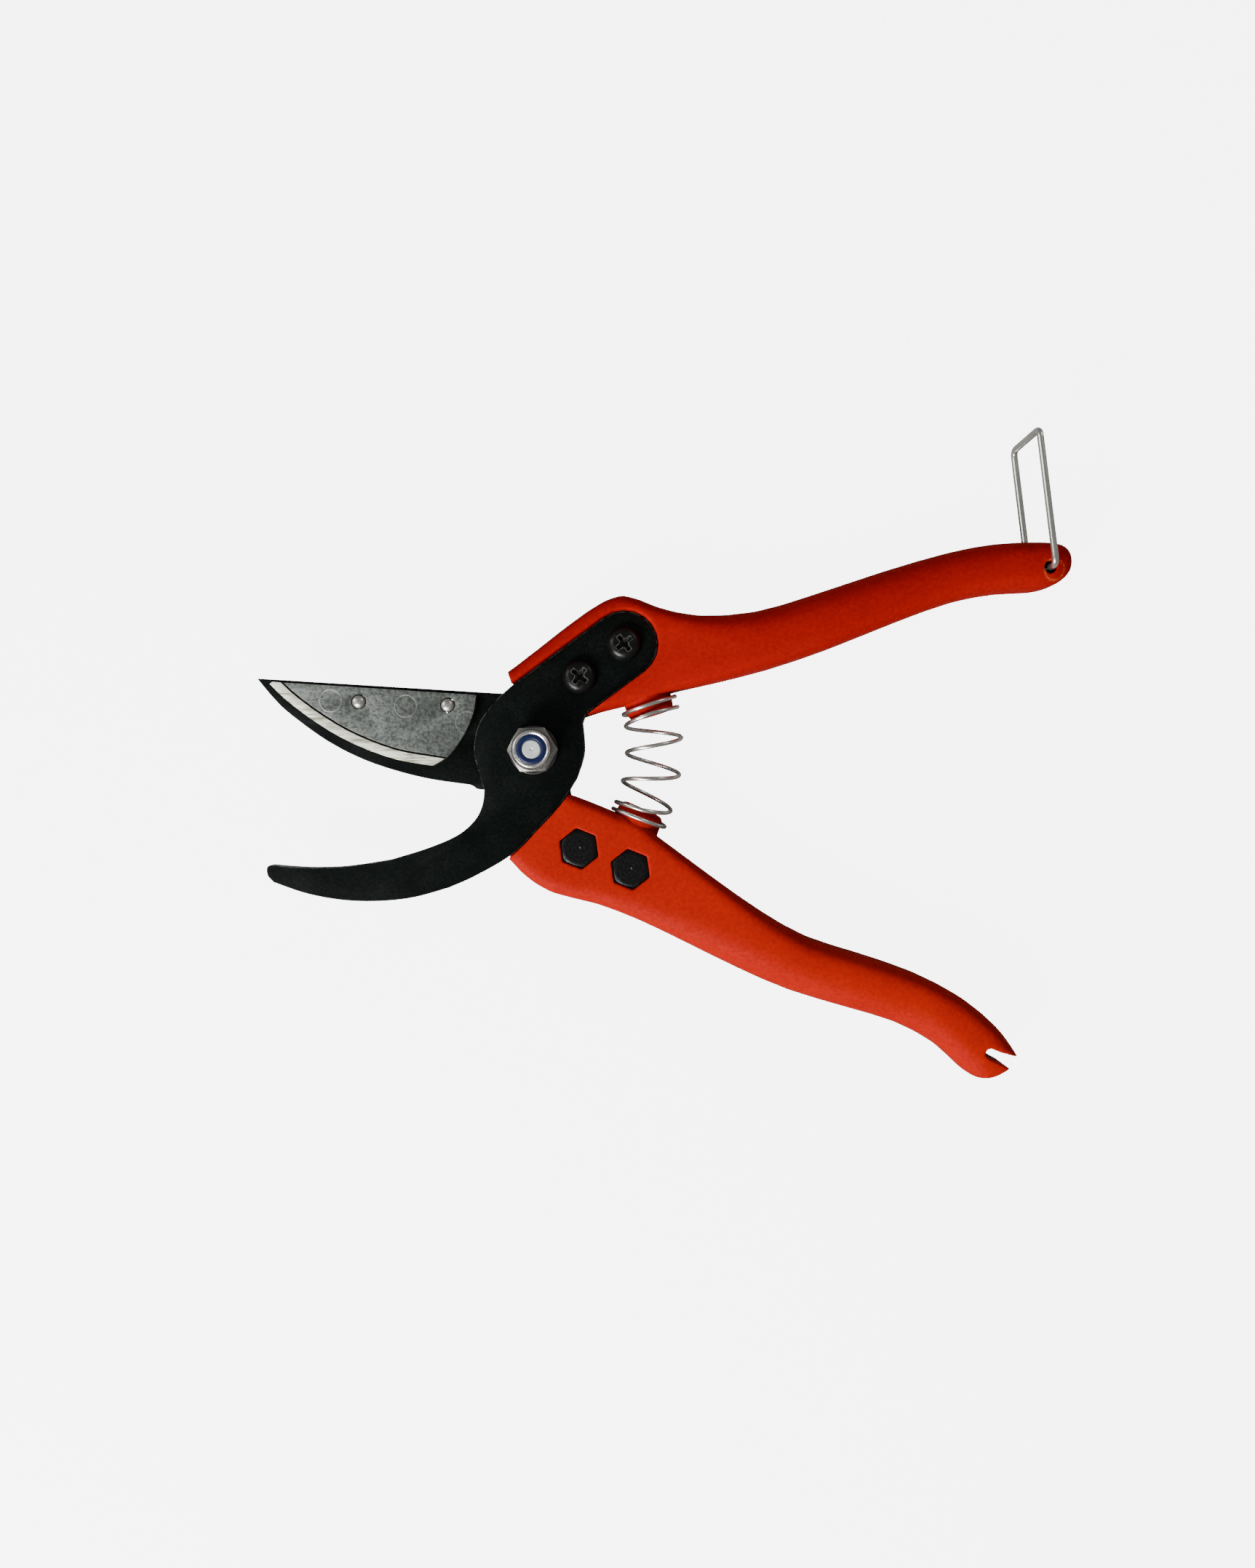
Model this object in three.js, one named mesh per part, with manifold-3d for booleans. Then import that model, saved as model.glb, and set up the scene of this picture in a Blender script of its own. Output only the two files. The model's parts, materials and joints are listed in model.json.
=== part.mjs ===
// Bypass pruning shears that cut and hold: a curved blade passes a hook, and a plate riveted to the blade
// grips the cut stem against the hook. They are drawn fully open and lying on their side.
// Millimetres, +Z up. The pivot axis is Z at X = Y = 0, the handles point to +X, and the jaws to -X.
// The pivot bolt's head stands on Z = 0, which is where the shears rest on a table.

import * as THREE from "three";
import { mergeVertices } from "three/addons/utils/BufferGeometryUtils.js";
import Module from "manifold-3d";

const wasm = await Module();
wasm.setup();

// ---- Driving dimensions ----

// The pivot: an M6 bolt, two washers and a lock nut with a nylon ring.
const BOLT_RADIUS = 3;
const BOLT_HEAD_FLATS = 10;
const BOLT_HEAD_HEIGHT = 4;
const BOLT_CHAMFER = 1.1; // its height
const BOLT_CHAMFER_WIDTH = 0.8;
const BOLT_END_SUNK = 0.25; // below the lock nut's rim
const WASHER_RADIUS = 5.7;
const WASHER_THICKNESS = 1.6;
const LOCK_NUT_FLATS = 10;
const LOCK_NUT_HEX_HEIGHT = 4.7;
const LOCK_NUT_COLLAR_HEIGHT = 1.4;
const LOCK_NUT_COLLAR_WALL = 0.85;
const NYLON_WALL = 0.45;
const NYLON_HEIGHT = 1.15;
const NYLON_SUNK = 0.2; // below the lock nut's rim
const NYLON_FIT = 0.05; // between the nylon and the collar
const NYLON_GRIP_GAP = 0.1; // between the nylon and the bolt
const HOLE_CLEARANCE = 0.15; // radial, around the bolt

// The two steel plates.
const BLADE_THICKNESS = 3.7;
const HOOK_THICKNESS = 4;
const BLADE_PLAY = 0.05; // between the blade and the washer below it
const PLATE_GAP = 0.1; // between the blade and the hook
const TANG_HALF_WIDTH = 7.75;
const TANG_FIT = 0.3; // between a tang and the walls of its recess
const FLOOR_FIT = 0.06; // between a tang and the floor of its recess
const EDGE_THICKNESS = 0.5; // the blade's cutting edge
const BEVEL_WIDTH = 6.5;

// The screws that hold each tang: M4 pan heads into blind hexagon nuts.
const SCREW_RADIUS = 2;
const SCREW_HEAD_RADIUS = 4;
const SCREW_HEAD_HEIGHT = 2.6;
const SCREW_PITCH = 12.9;
const NUT_FLATS = 8;
const NUT_HEIGHT = 4;
const NUT_CLOSED_END = 0.7;
const SCREW_TIP_GAP = 0.15; // between a screw's tip and its nut's closed end
const NUT_SUNK = 0.3; // how far a nut lies below the handle's face
const NUT_FIT = 0.2;
const THREAD_GAP = 0.1;

// The holding plate and its two rivets.
const PLATE_THICKNESS = 2.4;
const LAND_WIDTH = 2.1; // the ground rim along the holding edge
const GROOVE_WIDTH = 0.45;
const GROOVE_DEPTH = 0.7;
const RIVET_RADIUS = 1.6;
const RIVET_HEAD_HEIGHT = 0.85;
const RIVET_GAP = 0.2;

// The handles.
const HEAD_HALF_THICKNESS = 6.3;
const GRIP_HALF_THICKNESS = 8;
const TAIL_HALF_THICKNESS = 7;
const GRIP_LENGTH = 90; // from the spring to each handle's end
const BOSS_RADIUS = 5.7;
const BOSS_HEIGHT = 3.8;

// The spring.
const SPRING_WIRE = 1;
const SPRING_FIT = 0.3; // between the wire and its boss, and between the wire and its seat
const SPRING_END_TURNS = 1.25; // at each end, where the turns lie close round a boss
const SPRING_END_PITCH = 2.2;
const SPRING_OPEN_TURNS = 3;
const SPRING_REACH = 9; // how strongly its ends point away from their seats

// The wire latch, and the angle through which the handles close.
const CLOSING_ANGLE = 39;
const LATCH_WIRE = 1.6;
const LATCH_LENGTH = 31.3; // from its hole to its crossbar
const LATCH_GAP_BELOW = 0.4; // between the lower leg and the handle
const LATCH_GAP_ABOVE = 2;
const LATCH_BEND = 2;
const LATCH_TOE = 5; // how far each end reaches into the hole
const LATCH_HOLE_FIT = 0.7; // radial, around the wire
const LATCH_REST_ANGLE = 97;
const LATCH_CLOSED_ANGLE = -77.4;
const NOTCH_FIT = 0.35; // at each side of the crossbar
const NOTCH_SEAT = 1.5; // straight, where the crossbar is held
const NOTCH_FLARE = 9; // degrees, from the seat to the mouth

const ROUND = 24; // sides of a round piece

// ---- Heights of the stack at the pivot ----

const rearWasherZ = BOLT_HEAD_HEIGHT;
const bladeZ = rearWasherZ + WASHER_THICKNESS + BLADE_PLAY;
const bladeTopZ = bladeZ + BLADE_THICKNESS;
const hookZ = bladeTopZ + PLATE_GAP;
const hookTopZ = hookZ + HOOK_THICKNESS;
const lockNutZ = hookTopZ + WASHER_THICKNESS;
const lockNutTopZ = lockNutZ + LOCK_NUT_HEX_HEIGHT + LOCK_NUT_COLLAR_HEIGHT;
const midZ = (bladeTopZ + hookZ) / 2;

// ---- Places in the plane of the blade ----

const at = (x, y) => new THREE.Vector2(x, y);
const radians = THREE.MathUtils.degToRad;
const along = (degrees, length = 1) =>
  at(Math.cos(radians(degrees)) * length, Math.sin(radians(degrees)) * length);

// Each tang lies on a line through its two screws.
const hookTang = { angle: 36.3, first: at(10.8, 17.2) };
const bladeTang = { angle: -21.9, first: at(10.7, -23) };
for (const tang of [hookTang, bladeTang]) {
  tang.second = tang.first.clone().add(along(tang.angle, SCREW_PITCH));
  tang.screws = [tang.first, tang.second];
}

// A point beside a tang's line: how far it lies along the line from a screw, and how far to its left.
const beside = (tang, screw, forward, left) =>
  screw.clone().add(along(tang.angle, forward)).add(along(tang.angle + 90, left));

const rivets = [at(-41.5, 11.5), at(-20.5, 10.7)];

// Each grip's axis starts beside the spring.
const upperGrip = { start: at(38, 22), angle: 12.6 };
const lowerGrip = { start: at(33, -34), angle: -26.4 };

// A point of a grip: its share of the grip's length, and how far it lies to the left of the axis.
const onGrip = ({ start, angle }, share, left) =>
  start.clone().add(along(angle, GRIP_LENGTH * share)).add(along(angle + 90, left));

const latchHole = onGrip(upperGrip, 0.9433, 2.13);

// Where the latch's crossbar lies once the shears are closed and latched, turned back to the open handle.
const crossbarInNotch = latchHole
  .clone()
  .add(along(LATCH_CLOSED_ANGLE, LATCH_LENGTH))
  .rotateAround(at(0, 0), radians(-CLOSING_ANGLE));
const notchAngle = LATCH_CLOSED_ANGLE + 90 - CLOSING_ANGLE;

// The spring's seats: the middle of each, and the way it faces.
const hookSeat = { middle: at(26.8, 11.9), facing: -73.7 };
const bladeSeat = { middle: at(24.1, -17.2), facing: 65.1 };

// ---- Helpers ----

function solid(geometry) {
  const bare = geometry.clone();
  bare.deleteAttribute("normal");
  bare.deleteAttribute("uv");
  const merged = mergeVertices(bare, 1e-4);
  const vertProperties = merged.attributes.position.array;
  const triVerts = new Uint32Array(merged.index.array);
  return new wasm.Manifold(new wasm.Mesh({ numProp: 3, vertProperties, triVerts }));
}

function geometryOf(manifold) {
  const mesh = manifold.getMesh();
  const geometry = new THREE.BufferGeometry();
  geometry.setAttribute("position", new THREE.BufferAttribute(mesh.vertProperties, 3));
  geometry.setIndex(new THREE.BufferAttribute(mesh.triVerts, 1));
  geometry.computeVertexNormals();
  return geometry;
}

// A flat plate of the given outline, from one height to another, grown sideways by a clearance.
function plate(shape, lowZ, highZ, grow = 0, curveSegments = 5) {
  const lip = grow ? 0.005 : 0;
  const geometry = new THREE.ExtrudeGeometry(shape, {
    depth: highZ - lowZ - 2 * lip,
    curveSegments,
    bevelEnabled: grow > 0,
    bevelSize: grow,
    bevelThickness: lip,
    bevelSegments: 1,
  });
  return solid(geometry.translate(0, 0, lowZ + lip));
}

// A round or hexagonal bar along Z.
function bar(radius, lowZ, highZ, place = at(0, 0), sides = ROUND, turn = 0) {
  const geometry = new THREE.CylinderGeometry(radius, radius, highZ - lowZ, sides);
  geometry.rotateX(Math.PI / 2).rotateZ(radians(turn));
  return solid(geometry.translate(place.x, place.y, (lowZ + highZ) / 2));
}

// A bar whose sides are flats apart; turn 0 points a corner along +X.
const hexBar = (flats, lowZ, highZ, place, turn) =>
  bar(flats / 2 / Math.cos(Math.PI / 6), lowZ, highZ, place, 6, turn + 90);

// A turned piece from (radius, height) pairs that start and end on the axis, or close on themselves.
function turned(profile, sides = ROUND) {
  const points = profile.map(([radius, height]) => at(radius, height));
  return solid(new THREE.LatheGeometry(points, sides).rotateX(Math.PI / 2));
}

// A closed skin over a row of rings that all have the same number of points.
function loft(rings) {
  const count = rings[0].length;
  const last = (rings.length - 1) * count;
  const index = [];
  for (let ring = 0; ring < last; ring += count) {
    for (let i = 0; i < count; i++) {
      const next = (i + 1) % count;
      index.push(ring + i, ring + next, ring + count + next);
      index.push(ring + i, ring + count + next, ring + count + i);
    }
  }
  for (let i = 1; i < count - 1; i++) {
    index.push(0, i + 1, i);
    index.push(last, last + i, last + i + 1);
  }
  const geometry = new THREE.BufferGeometry().setFromPoints(rings.flat());
  return solid(geometry.setIndex(index));
}

// Moves a manifold as a three.js object with this position and these turns would be.
function moved(manifold, x, y, z, turn = 0, flip = false) {
  const matrix = new THREE.Matrix4().makeRotationZ(radians(turn)).setPosition(x, y, z);
  if (flip) matrix.multiply(new THREE.Matrix4().makeRotationX(Math.PI));
  return solid(geometryOf(manifold).applyMatrix4(matrix));
}

// ---- Materials ----

const finish = (color, roughness, metalness) =>
  new THREE.MeshStandardMaterial({ color, roughness, metalness });
const redNylon = finish(0xc22a12, 0.5, 0);
const blackSteel = finish(0x101514, 0.5, 0.4);
const blackScrew = finish(0x151515, 0.35, 0.8);
const castMetal = finish(0x6d706c, 0.5, 0.8);
const plating = finish(0xc8c8c4, 0.25, 1);
const blueNylon = finish(0x1c2f6e, 0.4, 0);
const springSteel = finish(0xb4b0a8, 0.25, 1);

const shears = new THREE.Group();

function add(name, manifold, material) {
  const mesh = new THREE.Mesh(geometryOf(manifold), material);
  mesh.name = name;
  shears.add(mesh);
  return mesh;
}

// ---- The hook: the fixed jaw, with its tang in the upper handle ----

function hookShape() {
  const shape = new THREE.Shape();
  const { angle, first, second } = hookTang;
  const tangStart = beside(hookTang, first, -3.9, -TANG_HALF_WIDTH);
  const tangLowerEnd = beside(hookTang, second, 0, -TANG_HALF_WIDTH);
  const tangUpperStart = beside(hookTang, first, -14.6, TANG_HALF_WIDTH);
  shape.moveTo(tangStart.x, tangStart.y);
  shape.lineTo(tangLowerEnd.x, tangLowerEnd.y);
  shape.absarc(second.x, second.y, TANG_HALF_WIDTH, radians(angle - 90), radians(angle + 90));
  shape.lineTo(tangUpperStart.x, tangUpperStart.y);
  // Round the pivot on the blade's side, down to the throat.
  shape.splineThru([at(-9.1, 11.4), at(-12.9, 6), at(-14, 0), at(-12.9, -5), at(-11.6, -9.4)]);
  // The concave edge that the stem lies in.
  shape.splineThru([at(-12.1, -13), at(-13.9, -16.5), at(-18, -20), at(-25, -23), at(-34, -25.8)]);
  shape.splineThru([at(-44, -27.3), at(-53, -27.6), at(-62, -27)]);
  // The blunt tip and the convex back.
  shape.splineThru([at(-62.6, -27.7), at(-62.4, -29.4), at(-61, -31)]);
  shape.splineThru([at(-53, -33.7), at(-44.5, -35.2), at(-36, -35.4), at(-28, -34.5), at(-20, -32.3)]);
  shape.splineThru([at(-13.5, -29.4), at(-5.4, -24.6), at(1.1, -18.1), at(6.6, -12), at(10.1, -6.6)]);
  shape.splineThru([at(11.9, -0.5), at(11.5, 6.5)]);
  shape.closePath();
  return shape;
}

const hook = plate(hookShape(), hookZ, hookTopZ)
  .subtract(bar(BOLT_RADIUS + HOLE_CLEARANCE, 0, lockNutTopZ));
const hookDrilled = hookTang.screws.reduce(
  (rest, place) => rest.subtract(bar(SCREW_RADIUS + THREAD_GAP, 0, lockNutTopZ, place)),
  hook,
);
add("hook", hookDrilled, blackSteel);

// ---- The blade: the moving jaw, with its tang in the lower handle ----

const bladeTip = at(-66.2, 17.2);
const cuttingEdge = [bladeTip, at(-62, 12.2), at(-57.9, 8.4), at(-49.6, 2.4), at(-41.3, -1.9)];
cuttingEdge.push(at(-33, -4.8), at(-24.7, -6.8), at(-15.6, -8.1));
const edgeCurve = new THREE.SplineCurve(cuttingEdge);

function bladeShape() {
  const shape = new THREE.Shape();
  const { angle, first, second } = bladeTang;
  const tangLowerStart = beside(bladeTang, first, -1, -TANG_HALF_WIDTH);
  const tangLowerEnd = beside(bladeTang, second, 0, -TANG_HALF_WIDTH);
  const tangUpperStart = beside(bladeTang, first, 1, TANG_HALF_WIDTH);
  shape.moveTo(bladeTip.x, bladeTip.y);
  shape.splineThru(cuttingEdge.slice(1));
  // The heel, and the neck behind the hook.
  shape.splineThru([at(-14.6, -8.5), at(-13.8, -9.1), at(-12.2, -9.3)]);
  shape.splineThru([at(-10.3, -12.5), at(-6.2, -18.5), at(-0.6, -24.8), tangLowerStart]);
  shape.lineTo(tangLowerEnd.x, tangLowerEnd.y);
  shape.absarc(second.x, second.y, TANG_HALF_WIDTH, radians(angle - 90), radians(angle + 90));
  shape.lineTo(tangUpperStart.x, tangUpperStart.y);
  // Round the pivot on the handles' side, to the straight spine.
  shape.splineThru([at(10.4, -13.6), at(8.3, -9.6), at(9.4, -5), at(10.9, 0), at(9.9, 5.5)]);
  shape.splineThru([at(6, 10.3), at(0, 12.9), at(-6, 13.5)]);
  shape.closePath();
  return shape;
}

// The wedge that grinding takes from the underside, along the cutting edge.
function bevelWedge() {
  const rings = [];
  const steps = 16;
  for (let i = 0; i <= steps; i++) {
    const t = i / steps;
    const edge = edgeCurve.getPoint(t);
    const tangent = edgeCurve.getTangent(t);
    const inward = at(-tangent.y, tangent.x);
    const ends = i === 0 ? -4 : i === steps ? 1.5 : 0; // runs out past the tip and the heel
    edge.addScaledVector(tangent, ends);
    const width = BEVEL_WIDTH * (0.55 + 0.45 * Math.min(1, t * 2.5));
    const slope = (BLADE_THICKNESS - EDGE_THICKNESS) / width;
    const corner = (distance, z) => {
      const place = edge.clone().addScaledVector(inward, distance);
      return new THREE.Vector3(place.x, place.y, z);
    };
    const edgeZ = bladeTopZ - EDGE_THICKNESS;
    rings.push([corner(-1, edgeZ + slope), corner(-1, bladeZ - 1), corner(width + 1 / slope, bladeZ - 1)]);
  }
  return loft(rings);
}

let blade = plate(bladeShape(), bladeZ, bladeTopZ)
  .subtract(bevelWedge())
  .subtract(bar(BOLT_RADIUS + HOLE_CLEARANCE, 0, lockNutTopZ));
for (const place of bladeTang.screws)
  blade = blade.subtract(bar(SCREW_RADIUS + THREAD_GAP, 0, lockNutTopZ, place));
for (const place of rivets)
  blade = blade.subtract(bar(RIVET_RADIUS + RIVET_GAP, 0, lockNutTopZ, place));
add("blade", blade, blackSteel);

// ---- The holding plate, riveted to the blade's inner face ----

// The edge that meets the hook when the shears close.
const holdingEdge = [at(-62.5, 15.7), at(-58.3, 11.7), at(-51.9, 6.9), at(-45.1, 2.8), at(-38.1, -0.3)];
holdingEdge.push(at(-31.4, -2.4), at(-24, -3.6));
const holdingCurve = new THREE.SplineCurve(holdingEdge);

function holdingShape() {
  const shape = new THREE.Shape();
  const [start, ...rest] = holdingEdge;
  shape.moveTo(start.x, start.y);
  shape.splineThru(rest);
  // Round the hook's shoulder, then back along the spine.
  shape.splineThru([at(-20.8, -1.6), at(-18.2, 1.4), at(-16, 5), at(-14.3, 9.4), at(-13.8, 13.1)]);
  shape.lineTo(-61.9, 16.2);
  shape.closePath();
  return shape;
}

// The groove that parts the ground land from the rest of the plate.
function landGroove() {
  const top = bladeTopZ + PLATE_THICKNESS;
  const rings = [];
  const steps = 14;
  for (let i = 0; i <= steps; i++) {
    const t = i / steps;
    const edge = holdingCurve.getPoint(t);
    const tangent = holdingCurve.getTangent(t);
    edge.addScaledVector(tangent, i === 0 ? -6 : i === steps ? 6 : 0);
    const corner = (distance, z) =>
      new THREE.Vector3(edge.x - tangent.y * distance, edge.y + tangent.x * distance, z);
    const far = LAND_WIDTH + GROOVE_WIDTH;
    rings.push([
      corner(LAND_WIDTH, top + 1),
      corner(LAND_WIDTH, top - GROOVE_DEPTH),
      corner(far, top - GROOVE_DEPTH),
      corner(far, top + 1),
    ]);
  }
  return loft(rings);
}

let holdingPlate = plate(holdingShape(), bladeTopZ, bladeTopZ + PLATE_THICKNESS).subtract(landGroove());
for (const place of rivets)
  holdingPlate = holdingPlate.subtract(bar(RIVET_RADIUS + RIVET_GAP, 0, lockNutTopZ, place));
add("holding_plate", holdingPlate, castMetal);

rivets.forEach((place, i) => {
  const foot = bladeZ + 0.3;
  const top = bladeTopZ + PLATE_THICKNESS;
  const rivet = turned([
    [0, foot],
    [RIVET_RADIUS, foot],
    [RIVET_RADIUS, top - RIVET_HEAD_HEIGHT * 0.4],
    [RIVET_RADIUS * 0.85, top + RIVET_HEAD_HEIGHT * 0.3],
    [RIVET_RADIUS * 0.5, top + RIVET_HEAD_HEIGHT * 0.88],
    [0, top + RIVET_HEAD_HEIGHT],
  ]);
  add(`plate_rivet_${i + 1}`, moved(rivet, place.x, place.y, 0), plating);
});

// ---- The handles ----

// Half the thickness of a handle, part of the way from its head to its grip, and toward its end.
const neckHalf = (share) => HEAD_HALF_THICKNESS + (GRIP_HALF_THICKNESS - HEAD_HALF_THICKNESS) * share;
const shoulderHalf = (GRIP_HALF_THICKNESS + TAIL_HALF_THICKNESS) / 2;
const tailHalf = (share) => TAIL_HALF_THICKNESS * share;

// One row for each station along a handle: a point on its outer edge, the point across from it on its
// inner edge, half its thickness, and how far each edge is rounded. A grip's rows give each point as its
// share of the grip's length and how far it lies to the left of the grip's axis.
const gripRows = (grip, rows) =>
  rows.map(([share, left, innerShare, innerLeft, ...rest]) => [
    onGrip(grip, share, left),
    onGrip(grip, innerShare, innerLeft),
    ...rest,
  ]);
const upperStations = [
  [at(-6.2, 18.4), at(0.5, 1), HEAD_HALF_THICKNESS, 2.6, 1.8],
  [at(1.3, 24.2), at(11, 7.7), HEAD_HALF_THICKNESS, 2.6, 1.8],
  [at(12.3, 32.6), at(20, 10.3), HEAD_HALF_THICKNESS, 2.6, 1.8],
  [at(20.6, 36.6), at(26.8, 12.3), HEAD_HALF_THICKNESS, 2.6, 1.8],
  [at(28.7, 33.9), at(33.5, 14.1), neckHalf(0.1), 3.2, 1.8],
  ...gripRows(upperGrip, [
    [0.029, 9.6, 0.029, -6.7, neckHalf(0.5), 4.6, 2.2],
    [0.178, 7.6, 0.184, -6.3, GRIP_HALF_THICKNESS, 6.4, 3],
    [0.34, 8.6, 0.353, -4.7, GRIP_HALF_THICKNESS, 7, 3.4],
    [0.532, 10.4, 0.547, -1.9, shoulderHalf, 7, 3.4],
    [0.711, 11.4, 0.703, -0.2, TAIL_HALF_THICKNESS, 6.6, 3.4],
    [0.835, 10.9, 0.824, -0.6, TAIL_HALF_THICKNESS, 6, 3.4],
    [0.948, 8.8, 0.91, -2.0, TAIL_HALF_THICKNESS, 4.6, 3.6],
    [0.999, 7.0, 0.964, -1.8, tailHalf(0.91), 3, 3],
    [1.015, 4.8, 0.998, -0.2, tailHalf(0.71), 1.8, 1.8],
    [1.017, 3.3, 1.01, 1.0, tailHalf(0.51), 1, 1],
  ]),
];
const lowerStations = [
  [at(-7.2, -23.6), at(7.4, -10), HEAD_HALF_THICKNESS, 2.2, 1.8],
  [at(-3, -28.8), at(11.8, -11.7), HEAD_HALF_THICKNESS, 2.4, 1.8],
  [at(4, -33.5), at(17.3, -13.9), HEAD_HALF_THICKNESS, 2.8, 1.8],
  [at(14.5, -36.2), at(24.3, -17.2), HEAD_HALF_THICKNESS, 3.4, 1.8],
  [at(25, -40.3), at(31, -21.8), neckHalf(0.1), 4.4, 1.8],
  ...gripRows(lowerGrip, [
    [0.087, -9.1, 0.07, 7.6, neckHalf(0.5), 5.6, 2.2],
    [0.236, -9.1, 0.231, 5.4, GRIP_HALF_THICKNESS, 7, 3],
    [0.381, -8.4, 0.37, 4.8, GRIP_HALF_THICKNESS, 7, 3.4],
    [0.536, -6.1, 0.515, 6.8, shoulderHalf, 7, 3.4],
    [0.668, -4.1, 0.66, 8.5, TAIL_HALF_THICKNESS, 6.6, 3.4],
    [0.787, -4.4, 0.798, 8.3, TAIL_HALF_THICKNESS, 6, 3.4],
    [0.875, -6.7, 0.901, 6.1, tailHalf(0.97), 5.2, 3.4],
    [0.925, -7.1, 0.949, 4.2, tailHalf(0.91), 4, 3],
    [0.954, -5.7, 0.979, 2.6, tailHalf(0.83), 3, 2.2],
    [0.973, -3.7, 0.997, 1.4, tailHalf(0.66), 1.6, 1.4],
  ]),
];

// A rounded section across a handle, from its inner edge to its outer one.
function section(outer, inner, half, outerRound, innerRound) {
  const width = outer.distanceTo(inner);
  const across = outer.clone().sub(inner).divideScalar(width);
  const corners = [
    { x: width, sideways: -1, round: outerRound, up: -1, start: -90 },
    { x: width, sideways: -1, round: outerRound, up: 1, start: 0 },
    { x: 0, sideways: 1, round: innerRound, up: 1, start: 90 },
    { x: 0, sideways: 1, round: innerRound, up: -1, start: 180 },
  ];
  const steps = 4;
  const ring = [];
  for (const { x, sideways, round, up, start } of corners) {
    const tall = Math.min(round, half * 0.92);
    for (let i = 0; i <= steps; i++) {
      const turn = along(start + (90 * i) / steps);
      const place = inner.clone().addScaledVector(across, x + sideways * round + turn.x * round);
      ring.push(new THREE.Vector3(place.x, place.y, midZ + up * (half - tall) + turn.y * tall));
    }
  }
  return ring;
}

// The stations run so that the outer edge is on their left.
function handleBody(stations) {
  const outer = new THREE.SplineCurve(stations.map((row) => row[0]));
  const inner = new THREE.SplineCurve(stations.map((row) => row[1]));
  const sizes = new THREE.CatmullRomCurve3(
    stations.map(([, , half, outerRound, innerRound]) => new THREE.Vector3(half, outerRound, innerRound)),
    false,
    "catmullrom",
  );
  const steps = 2 * (stations.length - 1);
  const rings = [];
  for (let i = 0; i <= steps; i++) {
    const size = sizes.getPoint(i / steps);
    rings.push(section(outer.getPoint(i / steps), inner.getPoint(i / steps), size.x, size.y, size.z));
  }
  return loft(rings);
}

// The round boss that centres one end of the spring.
function boss({ middle, facing }) {
  const root = 4; // how deep it starts inside the handle
  const profile = [
    [0, -root],
    [BOSS_RADIUS, -root],
    [BOSS_RADIUS, BOSS_HEIGHT - 0.6],
    [BOSS_RADIUS - 0.6, BOSS_HEIGHT],
    [0, BOSS_HEIGHT],
  ];
  const geometry = geometryOf(turned(profile));
  geometry.rotateY(Math.PI / 2).rotateZ(radians(facing));
  return solid(geometry.translate(middle.x, middle.y, midZ));
}

// The room that both steel plates need inside both handles: each tang's recess, and the face that stops
// the other plate when the shears are fully open.
const beyond = 30;
const hookRoom = plate(hookShape(), hookZ - FLOOR_FIT, beyond, TANG_FIT);
const bladeRoom = plate(bladeShape(), -beyond, bladeTopZ + FLOOR_FIT, TANG_FIT);

// Screw holes and hexagon pockets. The nuts lie on the side away from the tang.
function fastenerRoom(tang, nutsInFront) {
  const faceZ = midZ + (nutsInFront ? HEAD_HALF_THICKNESS : -HEAD_HALF_THICKNESS);
  const depth = NUT_HEIGHT + NUT_SUNK + FLOOR_FIT;
  const [lowZ, highZ] = nutsInFront ? [faceZ - depth, beyond] : [-beyond, faceZ + depth];
  return tang.screws.flatMap((place) => [
    bar(SCREW_RADIUS + THREAD_GAP, -beyond, beyond, place),
    hexBar(NUT_FLATS + 2 * NUT_FIT, lowZ, highZ, place, tang.angle),
  ]);
}

// The notch in the lower handle's end that takes the latch's crossbar. Its wall on the latch hole's side
// flares, because the crossbar comes in on an arc about that hole.
function notch() {
  const shape = new THREE.Shape();
  const radius = LATCH_WIRE / 2 + NOTCH_FIT;
  const mouth = 20;
  shape.absarc(0, 0, radius, radians(90), radians(270));
  shape.lineTo(mouth, -radius);
  shape.lineTo(mouth, radius + (mouth - NOTCH_SEAT) * Math.tan(radians(NOTCH_FLARE)));
  shape.lineTo(NOTCH_SEAT, radius);
  shape.closePath();
  const cut = plate(shape, -beyond, beyond, 0, 8);
  return moved(cut, crossbarInNotch.x, crossbarInNotch.y, 0, notchAngle);
}

const cutAll = (body, cuts) => cuts.reduce((rest, cut) => rest.subtract(cut), body);

const upperHandle = cutAll(handleBody(upperStations).add(boss(hookSeat)), [
  hookRoom,
  bladeRoom,
  bar(LATCH_WIRE / 2 + LATCH_HOLE_FIT, -beyond, beyond, latchHole),
  ...fastenerRoom(hookTang, false),
]);
const lowerHandle = cutAll(handleBody(lowerStations.toReversed()).add(boss(bladeSeat)), [
  hookRoom,
  bladeRoom,
  notch(),
  ...fastenerRoom(bladeTang, true),
]);
add("upper_handle", upperHandle, redNylon);
add("lower_handle", lowerHandle, redNylon);

// ---- The screws and nuts that hold the tangs ----

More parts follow.
